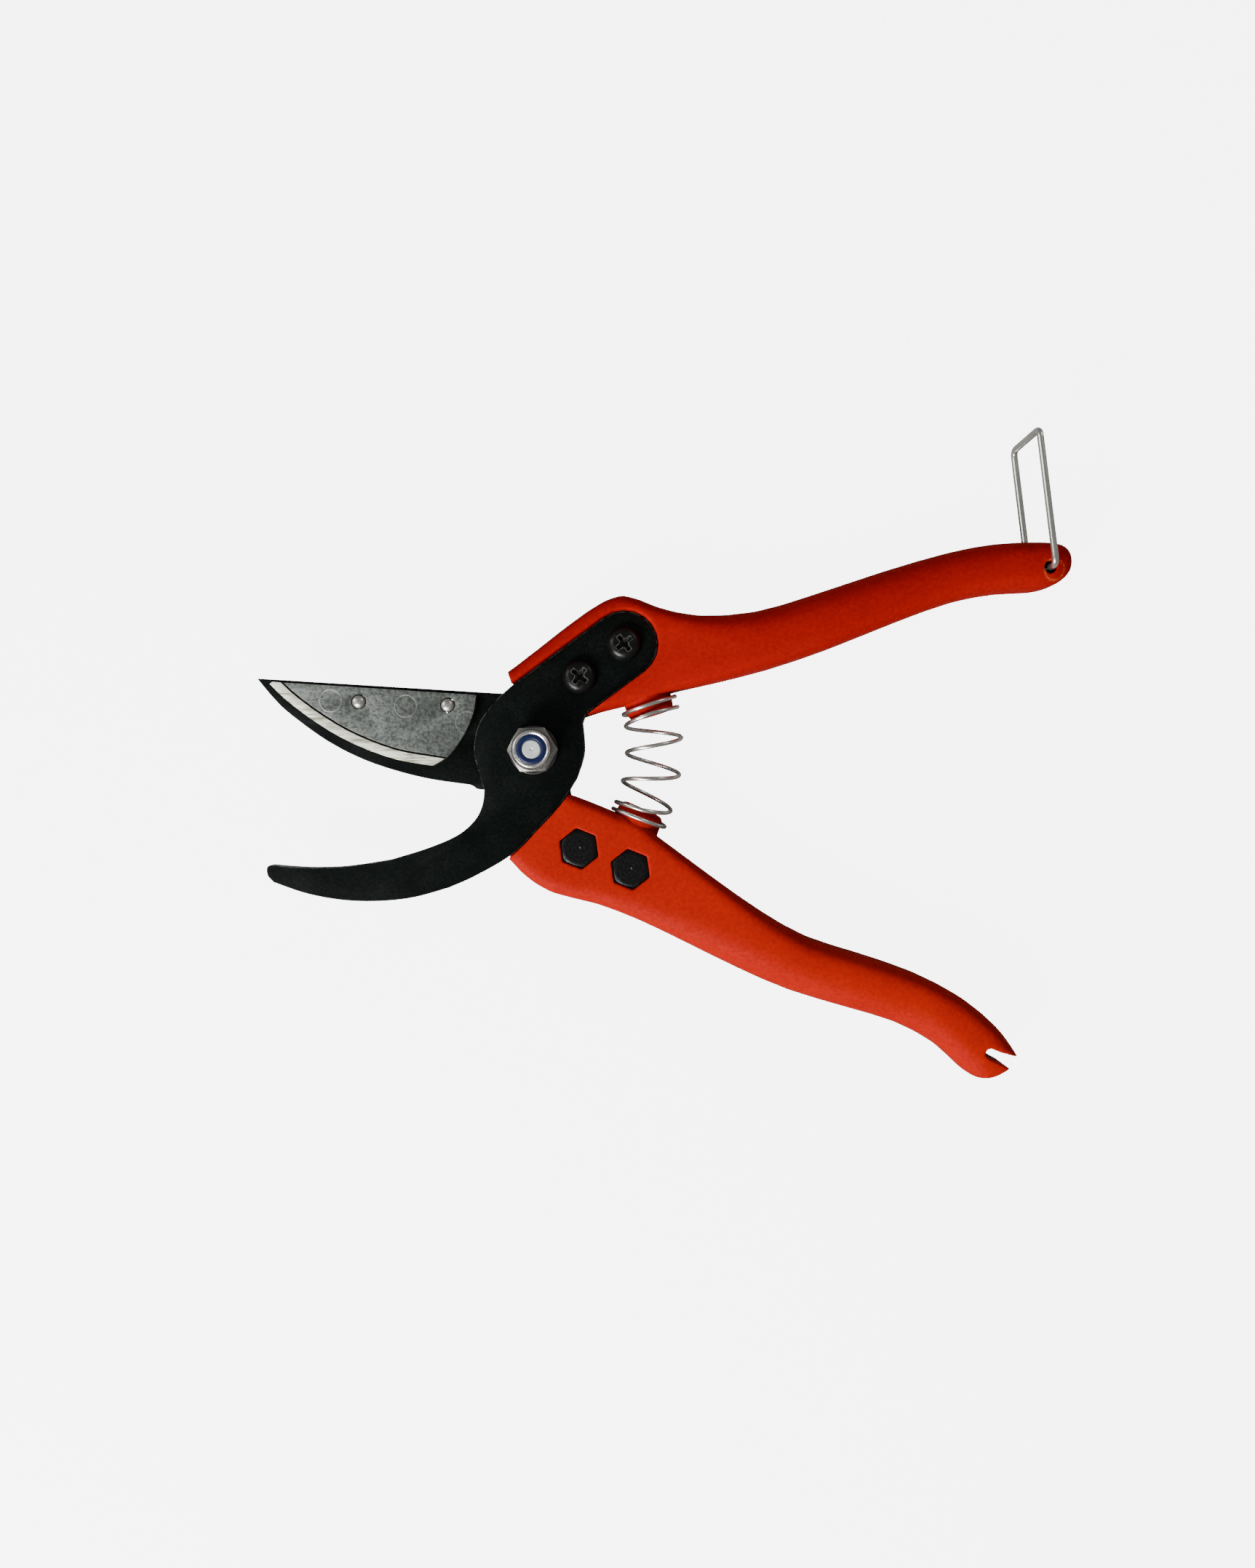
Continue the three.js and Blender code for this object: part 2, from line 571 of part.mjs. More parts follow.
// Drawn with the head's seat at Z = 0 and the head above it. The seat's height is taken from the handles'
// middle plane, and the screw reaches into the nut on that plane's far side.
function panHeadScrew(seatHeight) {
  const tip = HEAD_HALF_THICKNESS - NUT_SUNK - NUT_CLOSED_END - SCREW_TIP_GAP;
  const length = seatHeight + tip;
  const shank = [
    [0, -length],
    [SCREW_RADIUS - 0.4, -length],
    [SCREW_RADIUS, -length + 0.4],
    [SCREW_RADIUS, 0],
  ];
  const head = [
    [SCREW_HEAD_RADIUS, 0],
    [SCREW_HEAD_RADIUS, SCREW_HEAD_HEIGHT * 0.35],
    [SCREW_HEAD_RADIUS * 0.92, SCREW_HEAD_HEIGHT * 0.68],
    [SCREW_HEAD_RADIUS * 0.68, SCREW_HEAD_HEIGHT * 0.93],
    [0, SCREW_HEAD_HEIGHT],
  ];
  const slot = new THREE.BoxGeometry(4.4, 1.05, 2.4);
  const recess = solid(slot).add(solid(slot.clone().rotateZ(Math.PI / 2)));
  return turned([...shank, ...head]).subtract(moved(recess, 0, 0, SCREW_HEAD_HEIGHT - 0.5));
}

// Drawn with its open face at Z = 0 and its closed face above it.
function blindNut() {
  const corner = NUT_FLATS / 2 / Math.cos(Math.PI / 6);
  const chamfered = turned([
    [0, 0],
    [corner, 0],
    [corner, NUT_HEIGHT - 0.5],
    [NUT_FLATS / 2 - 0.2, NUT_HEIGHT],
    [0, NUT_HEIGHT],
  ]);
  return hexBar(NUT_FLATS, 0, NUT_HEIGHT, at(0, 0), 0)
    .intersect(chamfered)
    .subtract(bar(SCREW_RADIUS + THREAD_GAP, -1, NUT_HEIGHT - NUT_CLOSED_END));
}

const nutSeat = HEAD_HALF_THICKNESS - NUT_SUNK - NUT_HEIGHT;
hookTang.screws.forEach(({ x, y }, i) => {
  const screw = panHeadScrew(hookTopZ - midZ);
  add(`hook_screw_${i + 1}`, moved(screw, x, y, hookTopZ, 40 + 7 * i), blackScrew);
  add(`hook_nut_${i + 1}`, moved(blindNut(), x, y, midZ - nutSeat, hookTang.angle, true), blackScrew);
});
bladeTang.screws.forEach(({ x, y }, i) => {
  const screw = panHeadScrew(midZ - bladeZ);
  add(`blade_screw_${i + 1}`, moved(screw, x, y, bladeZ, 20 + 25 * i, true), blackScrew);
  add(`blade_nut_${i + 1}`, moved(blindNut(), x, y, midZ + nutSeat, bladeTang.angle), blackScrew);
});

// ---- The pivot ----

const boltTopZ = lockNutTopZ - BOLT_END_SUNK;
const boltEndRadius = BOLT_RADIUS - BOLT_CHAMFER_WIDTH;
const boltHead = hexBar(BOLT_HEAD_FLATS, 0, BOLT_HEAD_HEIGHT, at(0, 0), 12).intersect(
  turned([
    [0, 0],
    [BOLT_HEAD_FLATS / 2 - 0.2, 0],
    [BOLT_HEAD_FLATS / 2 / Math.cos(Math.PI / 6), 0.6],
    [BOLT_HEAD_FLATS / 2 / Math.cos(Math.PI / 6), BOLT_HEAD_HEIGHT],
    [0, BOLT_HEAD_HEIGHT],
  ]),
);
const boltShank = turned([
  [0, BOLT_HEAD_HEIGHT / 2],
  [BOLT_RADIUS, BOLT_HEAD_HEIGHT / 2],
  [BOLT_RADIUS, boltTopZ - BOLT_CHAMFER],
  [boltEndRadius, boltTopZ],
  [0.4, boltTopZ],
  [0, boltTopZ - 0.3],
]);
add("pivot_bolt", boltHead.add(boltShank), plating);

function washer(lowZ) {
  const hole = BOLT_RADIUS + HOLE_CLEARANCE;
  return turned([
    [hole, lowZ],
    [WASHER_RADIUS, lowZ],
    [WASHER_RADIUS, lowZ + WASHER_THICKNESS],
    [hole, lowZ + WASHER_THICKNESS],
    [hole, lowZ],
  ]);
}
add("rear_washer", washer(rearWasherZ), plating);
add("front_washer", washer(hookTopZ), plating);

// The nylon ring hugs the bolt's chamfered end, and the lock nut's collar holds the ring.
const ringBore = BOLT_RADIUS + NYLON_GRIP_GAP;
const ringRadius = ringBore + NYLON_WALL - NYLON_FIT;
const ringTopZ = lockNutTopZ - NYLON_SUNK;
const ringZ = ringTopZ - NYLON_HEIGHT;
const mouthRadius = ringRadius + NYLON_FIT;
const collarRadius = mouthRadius + LOCK_NUT_COLLAR_WALL;

const collarZ = lockNutZ + LOCK_NUT_HEX_HEIGHT;
const nutCorner = LOCK_NUT_FLATS / 2 / Math.cos(Math.PI / 6);
const nutHex = hexBar(LOCK_NUT_FLATS, lockNutZ, collarZ, at(0, 0), 2).intersect(
  turned([
    [0, lockNutZ],
    [nutCorner - 0.5, lockNutZ],
    [nutCorner, lockNutZ + 0.4],
    [nutCorner, collarZ - 0.7],
    [collarRadius, collarZ],
    [0, collarZ],
  ]),
);
const nutCollar = turned([
  [0, collarZ - 0.5],
  [collarRadius, collarZ - 0.5],
  [collarRadius, lockNutTopZ - 0.5],
  [collarRadius - 0.45, lockNutTopZ],
  [0, lockNutTopZ],
]);
const lockNut = nutHex
  .add(nutCollar)
  .subtract(bar(BOLT_RADIUS + HOLE_CLEARANCE, 0, beyond))
  .subtract(bar(mouthRadius, ringZ, beyond));
add("lock_nut", lockNut, plating);

add(
  "lock_nut_ring",
  turned([
    [ringBore, ringZ],
    [ringRadius, ringZ],
    [ringRadius, ringTopZ],
    [boltEndRadius + 0.35, ringTopZ],
    [boltEndRadius + 0.35, boltTopZ - 0.15],
    [ringBore, boltTopZ - BOLT_CHAMFER],
    [ringBore, ringZ],
  ]),
  blueNylon,
);

// ---- The spring between the handles ----

class SpringLine extends THREE.Curve {
  constructor() {
    super();
    const flat = (place) => new THREE.Vector3(place.x, place.y, midZ);
    const lift = SPRING_WIRE / 2 + SPRING_FIT; // the wire's middle above its seat
    const start = hookSeat.middle.clone().add(along(hookSeat.facing, lift));
    const end = bladeSeat.middle.clone().add(along(bladeSeat.facing, lift));
    this.middle = new THREE.CubicBezierCurve3(
      flat(start),
      flat(start.clone().add(along(hookSeat.facing, SPRING_REACH))),
      flat(end.clone().add(along(bladeSeat.facing, SPRING_REACH))),
      flat(end),
    );
    this.turns = 2 * SPRING_END_TURNS + SPRING_OPEN_TURNS;
    this.radius = BOSS_RADIUS + SPRING_FIT + SPRING_WIRE / 2;
  }

  // The share of the spring's length that has been climbed after some of its turns.
  climbed(turn) {
    const closed = (SPRING_END_TURNS * SPRING_END_PITCH) / this.middle.getLength();
    if (turn < SPRING_END_TURNS) return (closed * turn) / SPRING_END_TURNS;
    const left = this.turns - turn;
    if (left < SPRING_END_TURNS) return 1 - (closed * left) / SPRING_END_TURNS;
    return closed + ((1 - 2 * closed) * (turn - SPRING_END_TURNS)) / SPRING_OPEN_TURNS;
  }

  getPoint(t, target = new THREE.Vector3()) {
    const turn = t * this.turns;
    const share = this.climbed(turn);
    const tangent = this.middle.getTangentAt(share);
    const sideways = new THREE.Vector3(-tangent.y, tangent.x, 0);
    const angle = 2 * Math.PI * turn;
    return target
      .copy(this.middle.getPointAt(share))
      .addScaledVector(sideways, this.radius * Math.cos(angle))
      .add(new THREE.Vector3(0, 0, this.radius * Math.sin(angle)));
  }
}

function wire(path, diameter, steps, sides = 8) {
  const round = new THREE.Shape();
  round.absarc(0, 0, diameter / 2, 0, 2 * Math.PI);
  return solid(
    new THREE.ExtrudeGeometry(round, { steps, extrudePath: path, curveSegments: sides / 2 }),
  );
}
add("spring", wire(new SpringLine(), SPRING_WIRE, 100, 6), springSteel);

// ---- The wire latch ----

// Drawn along +X from the hole's axis, with its lower leg's middle at Z = 0. Its legs straddle the handle.
function latchPath() {
  const span = 2 * TAIL_HALF_THICKNESS + LATCH_GAP_BELOW + LATCH_GAP_ABOVE + LATCH_WIRE;
  const corners = [
    [0, LATCH_TOE],
    [0, 0],
    [LATCH_LENGTH, 0],
    [LATCH_LENGTH, span],
    [0, span],
    [0, span - LATCH_TOE],
  ].map(([x, z]) => new THREE.Vector3(x, 0, z));
  const path = new THREE.CurvePath();
  let from = corners[0];
  for (let i = 1; i < corners.length - 1; i++) {
    const corner = corners[i];
    const before = corner.clone().sub(from).setLength(LATCH_BEND);
    const after = corners[i + 1].clone().sub(corner).setLength(LATCH_BEND);
    const enter = corner.clone().sub(before);
    const leave = corner.clone().add(after);
    path.add(new THREE.LineCurve3(from, enter));
    path.add(new THREE.QuadraticBezierCurve3(enter, corner, leave));
    from = leave;
  }
  path.add(new THREE.LineCurve3(from, corners.at(-1)));
  return path;
}
const latch = wire(latchPath(), LATCH_WIRE, 60);
const latchZ = midZ - TAIL_HALF_THICKNESS - LATCH_GAP_BELOW - LATCH_WIRE / 2;
add("latch_wire", moved(latch, latchHole.x, latchHole.y, latchZ, LATCH_REST_ANGLE), springSteel);

export default shears;
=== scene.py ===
import json
import math

import bmesh
import bpy
from mathutils import Matrix, Vector
from mathutils.bvhtree import BVHTree
from mathutils.kdtree import KDTree


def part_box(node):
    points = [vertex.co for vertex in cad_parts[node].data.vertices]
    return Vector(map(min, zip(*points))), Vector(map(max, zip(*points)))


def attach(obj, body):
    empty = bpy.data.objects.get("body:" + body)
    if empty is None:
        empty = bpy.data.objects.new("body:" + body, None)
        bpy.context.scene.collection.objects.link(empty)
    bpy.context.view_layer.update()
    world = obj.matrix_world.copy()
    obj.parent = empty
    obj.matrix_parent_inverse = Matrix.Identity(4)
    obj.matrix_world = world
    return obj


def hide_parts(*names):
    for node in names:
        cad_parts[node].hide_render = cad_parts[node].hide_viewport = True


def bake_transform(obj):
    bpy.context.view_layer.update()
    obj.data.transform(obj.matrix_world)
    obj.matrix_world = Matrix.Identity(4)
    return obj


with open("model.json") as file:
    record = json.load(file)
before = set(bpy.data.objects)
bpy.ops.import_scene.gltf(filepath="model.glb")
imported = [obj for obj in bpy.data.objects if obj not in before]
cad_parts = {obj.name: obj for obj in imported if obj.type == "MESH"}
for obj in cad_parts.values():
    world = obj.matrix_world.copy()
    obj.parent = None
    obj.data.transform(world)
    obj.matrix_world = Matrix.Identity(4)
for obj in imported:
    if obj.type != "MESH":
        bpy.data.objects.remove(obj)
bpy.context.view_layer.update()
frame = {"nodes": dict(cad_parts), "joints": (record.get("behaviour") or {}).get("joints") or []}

# ---- Camera, light and floor ----
# The shears lie on their side on a white table, and are seen from straight above, from about 30 cm.
# The light is broad and soft, mostly from the lower left. The table is too pale to show much shadow.

MM = 0.001
SENSOR = 36
LENS = 26.7
EYE = (21.98 * MM, -7.93 * MM, 286.3 * MM)
ROOM_ON_OBJECT = 0.22
ROOM_GLOW = 5.4
TABLE_GREY = (0.3, 0.3, 0.3, 1)
TABLE_GLOW = 6.0


def node(tree, kind, values=None, **settings):
    """A new shader node. A value that is a socket is linked, and any other is set."""
    made = tree.nodes.new("ShaderNode" + kind)
    for key, value in settings.items():
        setattr(made, key, value)
    for name, value in (values or {}).items():
        if isinstance(value, bpy.types.NodeSocket):
            tree.links.new(value, made.inputs[name])
        else:
            made.inputs[name].default_value = value
    return made


def material(name, values):
    """A material and its tree, with its Principled BSDF's own sockets set."""
    made = bpy.data.materials.new(name)
    made.use_nodes = True
    tree = made.node_tree
    for socket, value in values.items():
        tree.nodes["Principled BSDF"].inputs[socket].default_value = value
    return made, tree


def feed(tree, links):
    """Links each output to the named socket of the material's Principled BSDF."""
    for socket, output in links.items():
        tree.links.new(output, tree.nodes["Principled BSDF"].inputs[socket])


def maths(tree, operation, first, second=0.0, third=0.0, clamp=False):
    """The output of a Math node."""
    made = node(tree, "Math", operation=operation, use_clamp=clamp)
    for socket, value in zip(made.inputs, (first, second, third)):
        if isinstance(value, bpy.types.NodeSocket):
            tree.links.new(value, socket)
        else:
            socket.default_value = value
    return made.outputs[0]


def area_light(name, place, aim, size, power):
    lamp = bpy.data.lights.new(name, "AREA")
    lamp.shape = "RECTANGLE"
    lamp.size, lamp.size_y = size
    lamp.energy = power
    made = bpy.data.objects.new(name, lamp)
    made.location = place
    made.rotation_euler = (Vector(aim) - Vector(place)).to_track_quat("-Z", "Y").to_euler()
    bpy.context.scene.collection.objects.link(made)


camera_data = bpy.data.cameras.new("camera")
camera_data.sensor_width = SENSOR
camera_data.lens = LENS
camera_data.clip_start = 0.01
camera = bpy.data.objects.new("camera", camera_data)
camera.location = EYE
bpy.context.scene.collection.objects.link(camera)
bpy.context.scene.camera = camera

area_light("key", (-0.28, -0.42, 0.36), (0.02, -0.01, 0), (0.3, 0.24), 9)
area_light("side", (-0.8, 0.25, 0.5), (0.02, 0, 0), (0.35, 0.5), 3.5)
area_light("back", (0.75, 0.75, 0.7), (0.02, 0, 0), (0.4, 0.3), 2.2)
world = bpy.data.worlds.new("studio")
world.use_nodes = True
# The room is pale to the camera and dim to the object, so dark steel stays dark.
sight = node(world.node_tree, "LightPath")
strength = maths(world.node_tree, "MULTIPLY_ADD", sight.outputs["Is Camera Ray"], ROOM_GLOW,
                 ROOM_ON_OBJECT)
world.node_tree.nodes["Background"].inputs["Color"].default_value = (1, 1, 1, 1)
world.node_tree.links.new(strength, world.node_tree.nodes["Background"].inputs["Strength"])
bpy.context.scene.world = world

table_mesh = bmesh.new()
bmesh.ops.create_grid(table_mesh, x_segments=1, y_segments=1, size=3)
table = bpy.data.objects.new("table", bpy.data.meshes.new("table"))
table_mesh.to_mesh(table.data)
table_mesh.free()
bpy.context.scene.collection.objects.link(table)
# The table glows to the camera alone, so it looks white and doesn't light the object from below.
table_paint, tree = material("table_white", {"Base Color": TABLE_GREY, "Roughness": 0.9,
                                             "Specular IOR Level": 0.1, "Emission Color": (1, 1, 1, 1)})
sight = node(tree, "LightPath")
feed(tree, {"Emission Strength": maths(tree, "MULTIPLY", sight.outputs["Is Camera Ray"], TABLE_GLOW)})
table.data.materials.append(table_paint)

# ---- Handles ----
# Two mouldings of glass-filled nylon, orange-red, with a satin skin that shows a faint cloudy flow.
# Each has a recess for a steel tang, a boss for the spring, and a parting line round its middle.

VOXEL = 0.34 * MM
CRISP_ANGLE = math.radians(50)
SMOOTHING_PASSES = 48
# The upper handle's reds are darker and more crimson than the lower's, though both are one nylon: painted
# shade.
UPPER_RED_PAINTED_SHADE = (0.36, 0.0042, 0.0006, 1)
LOWER_RED = (0.40, 0.0095, 0.0012, 1)
UPPER_DEEP_PAINTED_SHADE = (0.22, 0.0006, 0.0002, 1)
LOWER_DEEP = (0.25, 0.0030, 0.0005, 1)
HANDLE_SCUFF = (0.62, 0.16, 0.05, 1)
LATCH_RUB = (0.1212, 0.0420, 0.0)
GRIP_END_PIN = (0.1145, 0.0425, 0.0)
MID_Z = frame["joints"][0]["pos_m"][2]


def group(name, inputs, outputs):
    """An empty shader group, with its input and output nodes."""
    made = bpy.data.node_groups.new(name, "ShaderNodeTree")
    for label, default in inputs.items():
        kind = "NodeSocketVector" if isinstance(default, tuple) else "NodeSocketFloat"
        socket = made.interface.new_socket(label, in_out="INPUT", socket_type=kind)
        socket.default_value = default
    for label in outputs:
        made.interface.new_socket(label, in_out="OUTPUT", socket_type="NodeSocketFloat")
    return made, made.nodes.new("NodeGroupInput"), made.nodes.new("NodeGroupOutput")


def place_group(tree, made, values=None):
    used = tree.nodes.new("ShaderNodeGroup")
    used.node_tree = made
    for name, value in (values or {}).items():
        if isinstance(value, bpy.types.NodeSocket):
            tree.links.new(value, used.inputs[name])
        else:
            used.inputs[name].default_value = value
    return used


# Cloudiness from 0 to 1, sharper with more Contrast.
mottle, mottle_in, mottle_out = group("mottle", {"Scale": 200.0, "Contrast": 2.0}, ["Mask"])
spot = node(mottle, "TexCoord")
clouds = node(mottle, "TexNoise", {"Vector": spot.outputs["Object"], "Scale": mottle_in.outputs["Scale"],
                                   "Detail": 6.0, "Roughness": 0.62})
centred = maths(mottle, "SUBTRACT", clouds.outputs["Fac"], 0.5)
stretched = maths(mottle, "MULTIPLY_ADD", centred, mottle_in.outputs["Contrast"], 0.5, clamp=True)
mottle.links.new(stretched, mottle_out.inputs["Mask"])

# The ring that an ejector pin leaves: 1 on a thin circle about Centre in the XY plane.
ejector, ejector_in, ejector_out = group(
    "ejector_ring", {"Centre": (0.0, 0.0, 0.0), "Radius": 0.0027, "Line": 0.00012}, ["Ring"])
spot = node(ejector, "TexCoord")
offset = node(ejector, "VectorMath", {0: spot.outputs["Object"], 1: ejector_in.outputs["Centre"]},
              operation="SUBTRACT")
flat = node(ejector, "VectorMath", {0: offset.outputs["Vector"], 1: (1, 1, 0)}, operation="MULTIPLY")
reach = node(ejector, "VectorMath", {0: flat.outputs["Vector"]}, operation="LENGTH")
off_ring = maths(ejector, "ABSOLUTE", maths(ejector, "SUBTRACT", reach.outputs["Value"],
                                            ejector_in.outputs["Radius"]))
on_ring = maths(ejector, "SUBTRACT", 1.0, maths(ejector, "DIVIDE", off_ring, ejector_in.outputs["Line"]),
                clamp=True)
ejector.links.new(on_ring, ejector_out.inputs["Ring"])


def red_nylon(name, red, deep):
    made, tree = material(name, {"Specular IOR Level": 0.06})
    flow = place_group(tree, mottle, {"Scale": 45.0, "Contrast": 1.6})
    specks = place_group(tree, mottle, {"Scale": 1100.0, "Contrast": 3.2})
    blend = maths(tree, "ADD", maths(tree, "MULTIPLY", flow.outputs["Mask"], 0.55),
                  maths(tree, "MULTIPLY", specks.outputs["Mask"], 0.45))
    colour = node(tree, "Mix", {"Factor": blend, "A": red, "B": deep}, data_type="RGBA")
    # Sparse pale nicks, and the ring that the latch wire rubs about its hole, a little off centre.
    skin = node(tree, "TexCoord")
    cells = node(tree, "TexVoronoi", {"Vector": skin.outputs["Object"], "Scale": 75.0})
    dot = maths(tree, "SUBTRACT", 1.0, maths(tree, "DIVIDE", cells.outputs["Distance"], 0.022), clamp=True)
    nicks = place_group(tree, mottle, {"Scale": 1800.0, "Contrast": 4.0})
    nicked = maths(tree, "MULTIPLY", dot, nicks.outputs["Mask"])
    rubbed = place_group(tree, ejector, {"Centre": LATCH_RUB, "Radius": 0.0024, "Line": 0.0004})
    rub_marks = maths(tree, "MULTIPLY", rubbed.outputs["Ring"],
                      maths(tree, "MULTIPLY", nicks.outputs["Mask"], 0.5))
    worn = maths(tree, "ADD", nicked, rub_marks, clamp=True)
    colour = node(tree, "Mix", {"Factor": worn, "A": colour.outputs["Result"], "B": HANDLE_SCUFF},
                  data_type="RGBA")
    rough = maths(tree, "MULTIPLY_ADD", specks.outputs["Mask"], 0.16, 0.56)
    grain = node(tree, "TexNoise", {"Vector": skin.outputs["Object"], "Scale": 2400.0, "Detail": 3.0})
    ring = place_group(tree, ejector, {"Centre": GRIP_END_PIN, "Radius": 0.00195})
    # The parting line runs round the handle at the height where the mould's halves met.
    spot = node(tree, "SeparateXYZ", {"Vector": skin.outputs["Object"]})
    off_line = maths(tree, "ABSOLUTE", maths(tree, "SUBTRACT", spot.outputs["Z"], MID_Z))
    parting = maths(tree, "SUBTRACT", 1.0, maths(tree, "DIVIDE", off_line, 0.00012), clamp=True)
    height = maths(tree, "ADD", maths(tree, "MULTIPLY", grain.outputs["Fac"], 0.3),
                   maths(tree, "SUBTRACT", parting, ring.outputs["Ring"]))
    bump = node(tree, "Bump", {"Height": height, "Strength": 0.3, "Distance": 0.0001})
    feed(tree, {"Base Color": colour.outputs["Result"], "Roughness": rough,
                "Normal": bump.outputs["Normal"]})
    return made


def merged_copy(part):
    """A CAD node's mesh as a bmesh, with its loose triangles joined."""
    bm = bmesh.new()
    bm.from_mesh(frame["nodes"][part].data)
    bmesh.ops.remove_doubles(bm, verts=bm.verts, dist=1e-6)
    return bm


def piece(name, bm, finish, body, slot, *replaced):
    """Makes a bmesh an object with its finish, rides it on its body, and hides the nodes it stands for."""
    made = bpy.data.objects.new(name, bpy.data.meshes.new(name))
    bm.to_mesh(made.data)
    bm.free()
    bpy.context.scene.collection.objects.link(made)
    made.data.materials.append(finish)
    if body:
        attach(made, body)
    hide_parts(*replaced)
    return made


def evaluated(made):
    """The object's mesh with its modifiers applied, as a bmesh."""
    bpy.context.view_layer.update()
    graph = bpy.context.evaluated_depsgraph_get()
    bm = bmesh.new()
    bm.from_mesh(made.evaluated_get(graph).to_mesh())
    made.evaluated_get(graph).to_mesh_clear()
    return bm


def scratch(bm):
    """A working object that is deleted once its modifiers have done their job."""
    made = bpy.data.objects.new("scratch", bpy.data.meshes.new("scratch"))
    bm.to_mesh(made.data)
    bm.free()
    bpy.context.scene.collection.objects.link(made)
    return made


def moulded(part):
    """The part remeshed finely and smoothed, except close to its crisp edges, as from a polished mould."""
    bm = merged_copy(part)
    crisp = []
    for edge in bm.edges:
        if len(edge.link_faces) == 2 and edge.calc_face_angle(0) > CRISP_ANGLE:
            first, last = (v.co for v in edge.verts)
            steps = max(1, math.ceil((last - first).length / VOXEL))
            crisp += [first.lerp(last, i / steps) for i in range(steps + 1)]
    tree = KDTree(len(crisp))
    for i, point in enumerate(crisp):
        tree.insert(point, i)
    tree.balance()
    drawn = BVHTree.FromBMesh(bm)
    rough = scratch(bm)
    remesh = rough.modifiers.new("remesh", "REMESH")
    remesh.mode = "VOXEL"
    remesh.voxel_size = VOXEL
    bm = evaluated(rough)
    bpy.data.objects.remove(rough)
    reach = {v: tree.find(v.co)[2] for v in bm.verts}
    # The first two passes smooth all of it. The others keep ever further away from the crisp edges.
    for sweep in range(SMOOTHING_PASSES):
        nearest = (0.25 + 0.035 * sweep) * MM
        soft = [v for v in bm.verts if sweep < 2 or reach[v] > nearest]
        bmesh.ops.smooth_vert(bm, verts=soft, factor=0.5, use_axis_x=True, use_axis_y=True,
                              use_axis_z=True)
    # Where a flat wall or floor, or what is close to a crisp edge, stands proud, it is brought back.
    for v in bm.verts:
        place, normal, _, _ = drawn.find_nearest(v.co)
        flat = abs(normal.z) > 0.9999 or abs(normal.z) < 0.0001
        if flat or reach[v] < 4 * VOXEL:
            v.co -= normal * max(0, (v.co - place).dot(normal))
    for face in bm.faces:
        face.smooth = True
    return bm


# The upper handle's material is a darker, more crimson copy of the lower's: painted shade.
upper_nylon_painted_shade = red_nylon("upper_nylon_painted_shade", UPPER_RED_PAINTED_SHADE, UPPER_DEEP_PAINTED_SHADE)
lower_nylon = red_nylon("lower_nylon", LOWER_RED, LOWER_DEEP)
piece("upper_handle_moulding", moulded("upper_handle"), upper_nylon_painted_shade, "hook_side", "handle", "upper_handle")
piece("lower_handle_moulding", moulded("lower_handle"), lower_nylon, "blade_side", "handle", "lower_handle")

# ---- Hook and blade ----
# Both are blanked from steel plate and coated matt black. Their edges are lightly broken, and bare
# steel shows here and there along them. The blade is ground on its back to a single bevel.

COAT_BLACK = (0.0016, 0.0026, 0.0021, 1)
COAT_WORN = (0.0065, 0.0085, 0.0072, 1)
BARE_STEEL = (0.42, 0.41, 0.38, 1)
GROUND_DARK = (0.22, 0.22, 0.16, 1)
GROUND_LIGHT = (0.98, 0.98, 0.80, 1)

# 1 along edges, inward ones too, broken up by noise.
wear, wear_in, wear_out = group("edge_wear", {"Width": 0.0003, "Scale": 700.0, "Amount": 0.6}, ["Mask"])
rounded = node(wear, "Bevel", {"Radius": wear_in.outputs["Width"]}, samples=6)
true_face = node(wear, "NewGeometry")
agree = node(wear, "VectorMath", {0: rounded.outputs["Normal"], 1: true_face.outputs["Normal"]},
             operation="DOT_PRODUCT")
edge = maths(wear, "MULTIPLY", maths(wear, "SUBTRACT", 1.0, agree.outputs["Value"]), 9.0, clamp=True)
breakup = place_group(wear, mottle, {"Scale": wear_in.outputs["Scale"], "Contrast": 5.0})
worn = maths(wear, "MULTIPLY", edge, maths(wear, "MULTIPLY", breakup.outputs["Mask"],
                                           wear_in.outputs["Amount"]), clamp=True)
wear.links.new(worn, wear_out.inputs["Mask"])


def black_coat():
    made, tree = material("black_coat", {"Specular IOR Level": 0.08})
    clouds = place_group(tree, mottle, {"Scale": 130.0, "Contrast": 2.2})
    specks = place_group(tree, mottle, {"Scale": 1500.0, "Contrast": 5.0})
    rubbed = maths(tree, "MULTIPLY", maths(tree, "MULTIPLY", clouds.outputs["Mask"],
                                           specks.outputs["Mask"]), 0.8)
    coat = node(tree, "Mix", {"Factor": rubbed, "A": COAT_BLACK, "B": COAT_WORN}, data_type="RGBA")
    edges = place_group(tree, wear, {"Amount": 0.35})
    colour = node(tree, "Mix", {"Factor": edges.outputs["Mask"], "A": coat.outputs["Result"],
                                "B": BARE_STEEL}, data_type="RGBA")
    rough = maths(tree, "MULTIPLY_ADD", clouds.outputs["Mask"], 0.12, 0.3)
    skin = node(tree, "TexCoord")
    grain = node(tree, "TexNoise", {"Vector": skin.outputs["Object"], "Scale": 2200.0, "Detail": 4.0})
    bump = node(tree, "Bump", {"Height": grain.outputs["Fac"], "Strength": 0.3, "Distance": 0.0001})
    feed(tree, {"Base Color": colour.outputs["Result"], "Roughness": rough,
                "Metallic": edges.outputs["Mask"], "Normal": bump.outputs["Normal"]})
    return made


def broken_edges(made, width, segments=3):
    """Breaks the object's sharp edges with a small round, and shades the rest smooth."""
    bevel = made.modifiers.new("broken_edges", "BEVEL")
    bevel.width = width
    bevel.segments = segments
    bevel.limit_method = "ANGLE"
    bevel.angle_limit = math.radians(30)
    bevel.harden_normals = True
    made.data.shade_smooth()
    return made


def blanked(part):
    """A plate's CAD mesh, with the triangles of each flat face joined."""
    bm = merged_copy(part)
    bmesh.ops.dissolve_limit(bm, angle_limit=math.radians(0.5), verts=bm.verts, edges=bm.edges)
    return bm


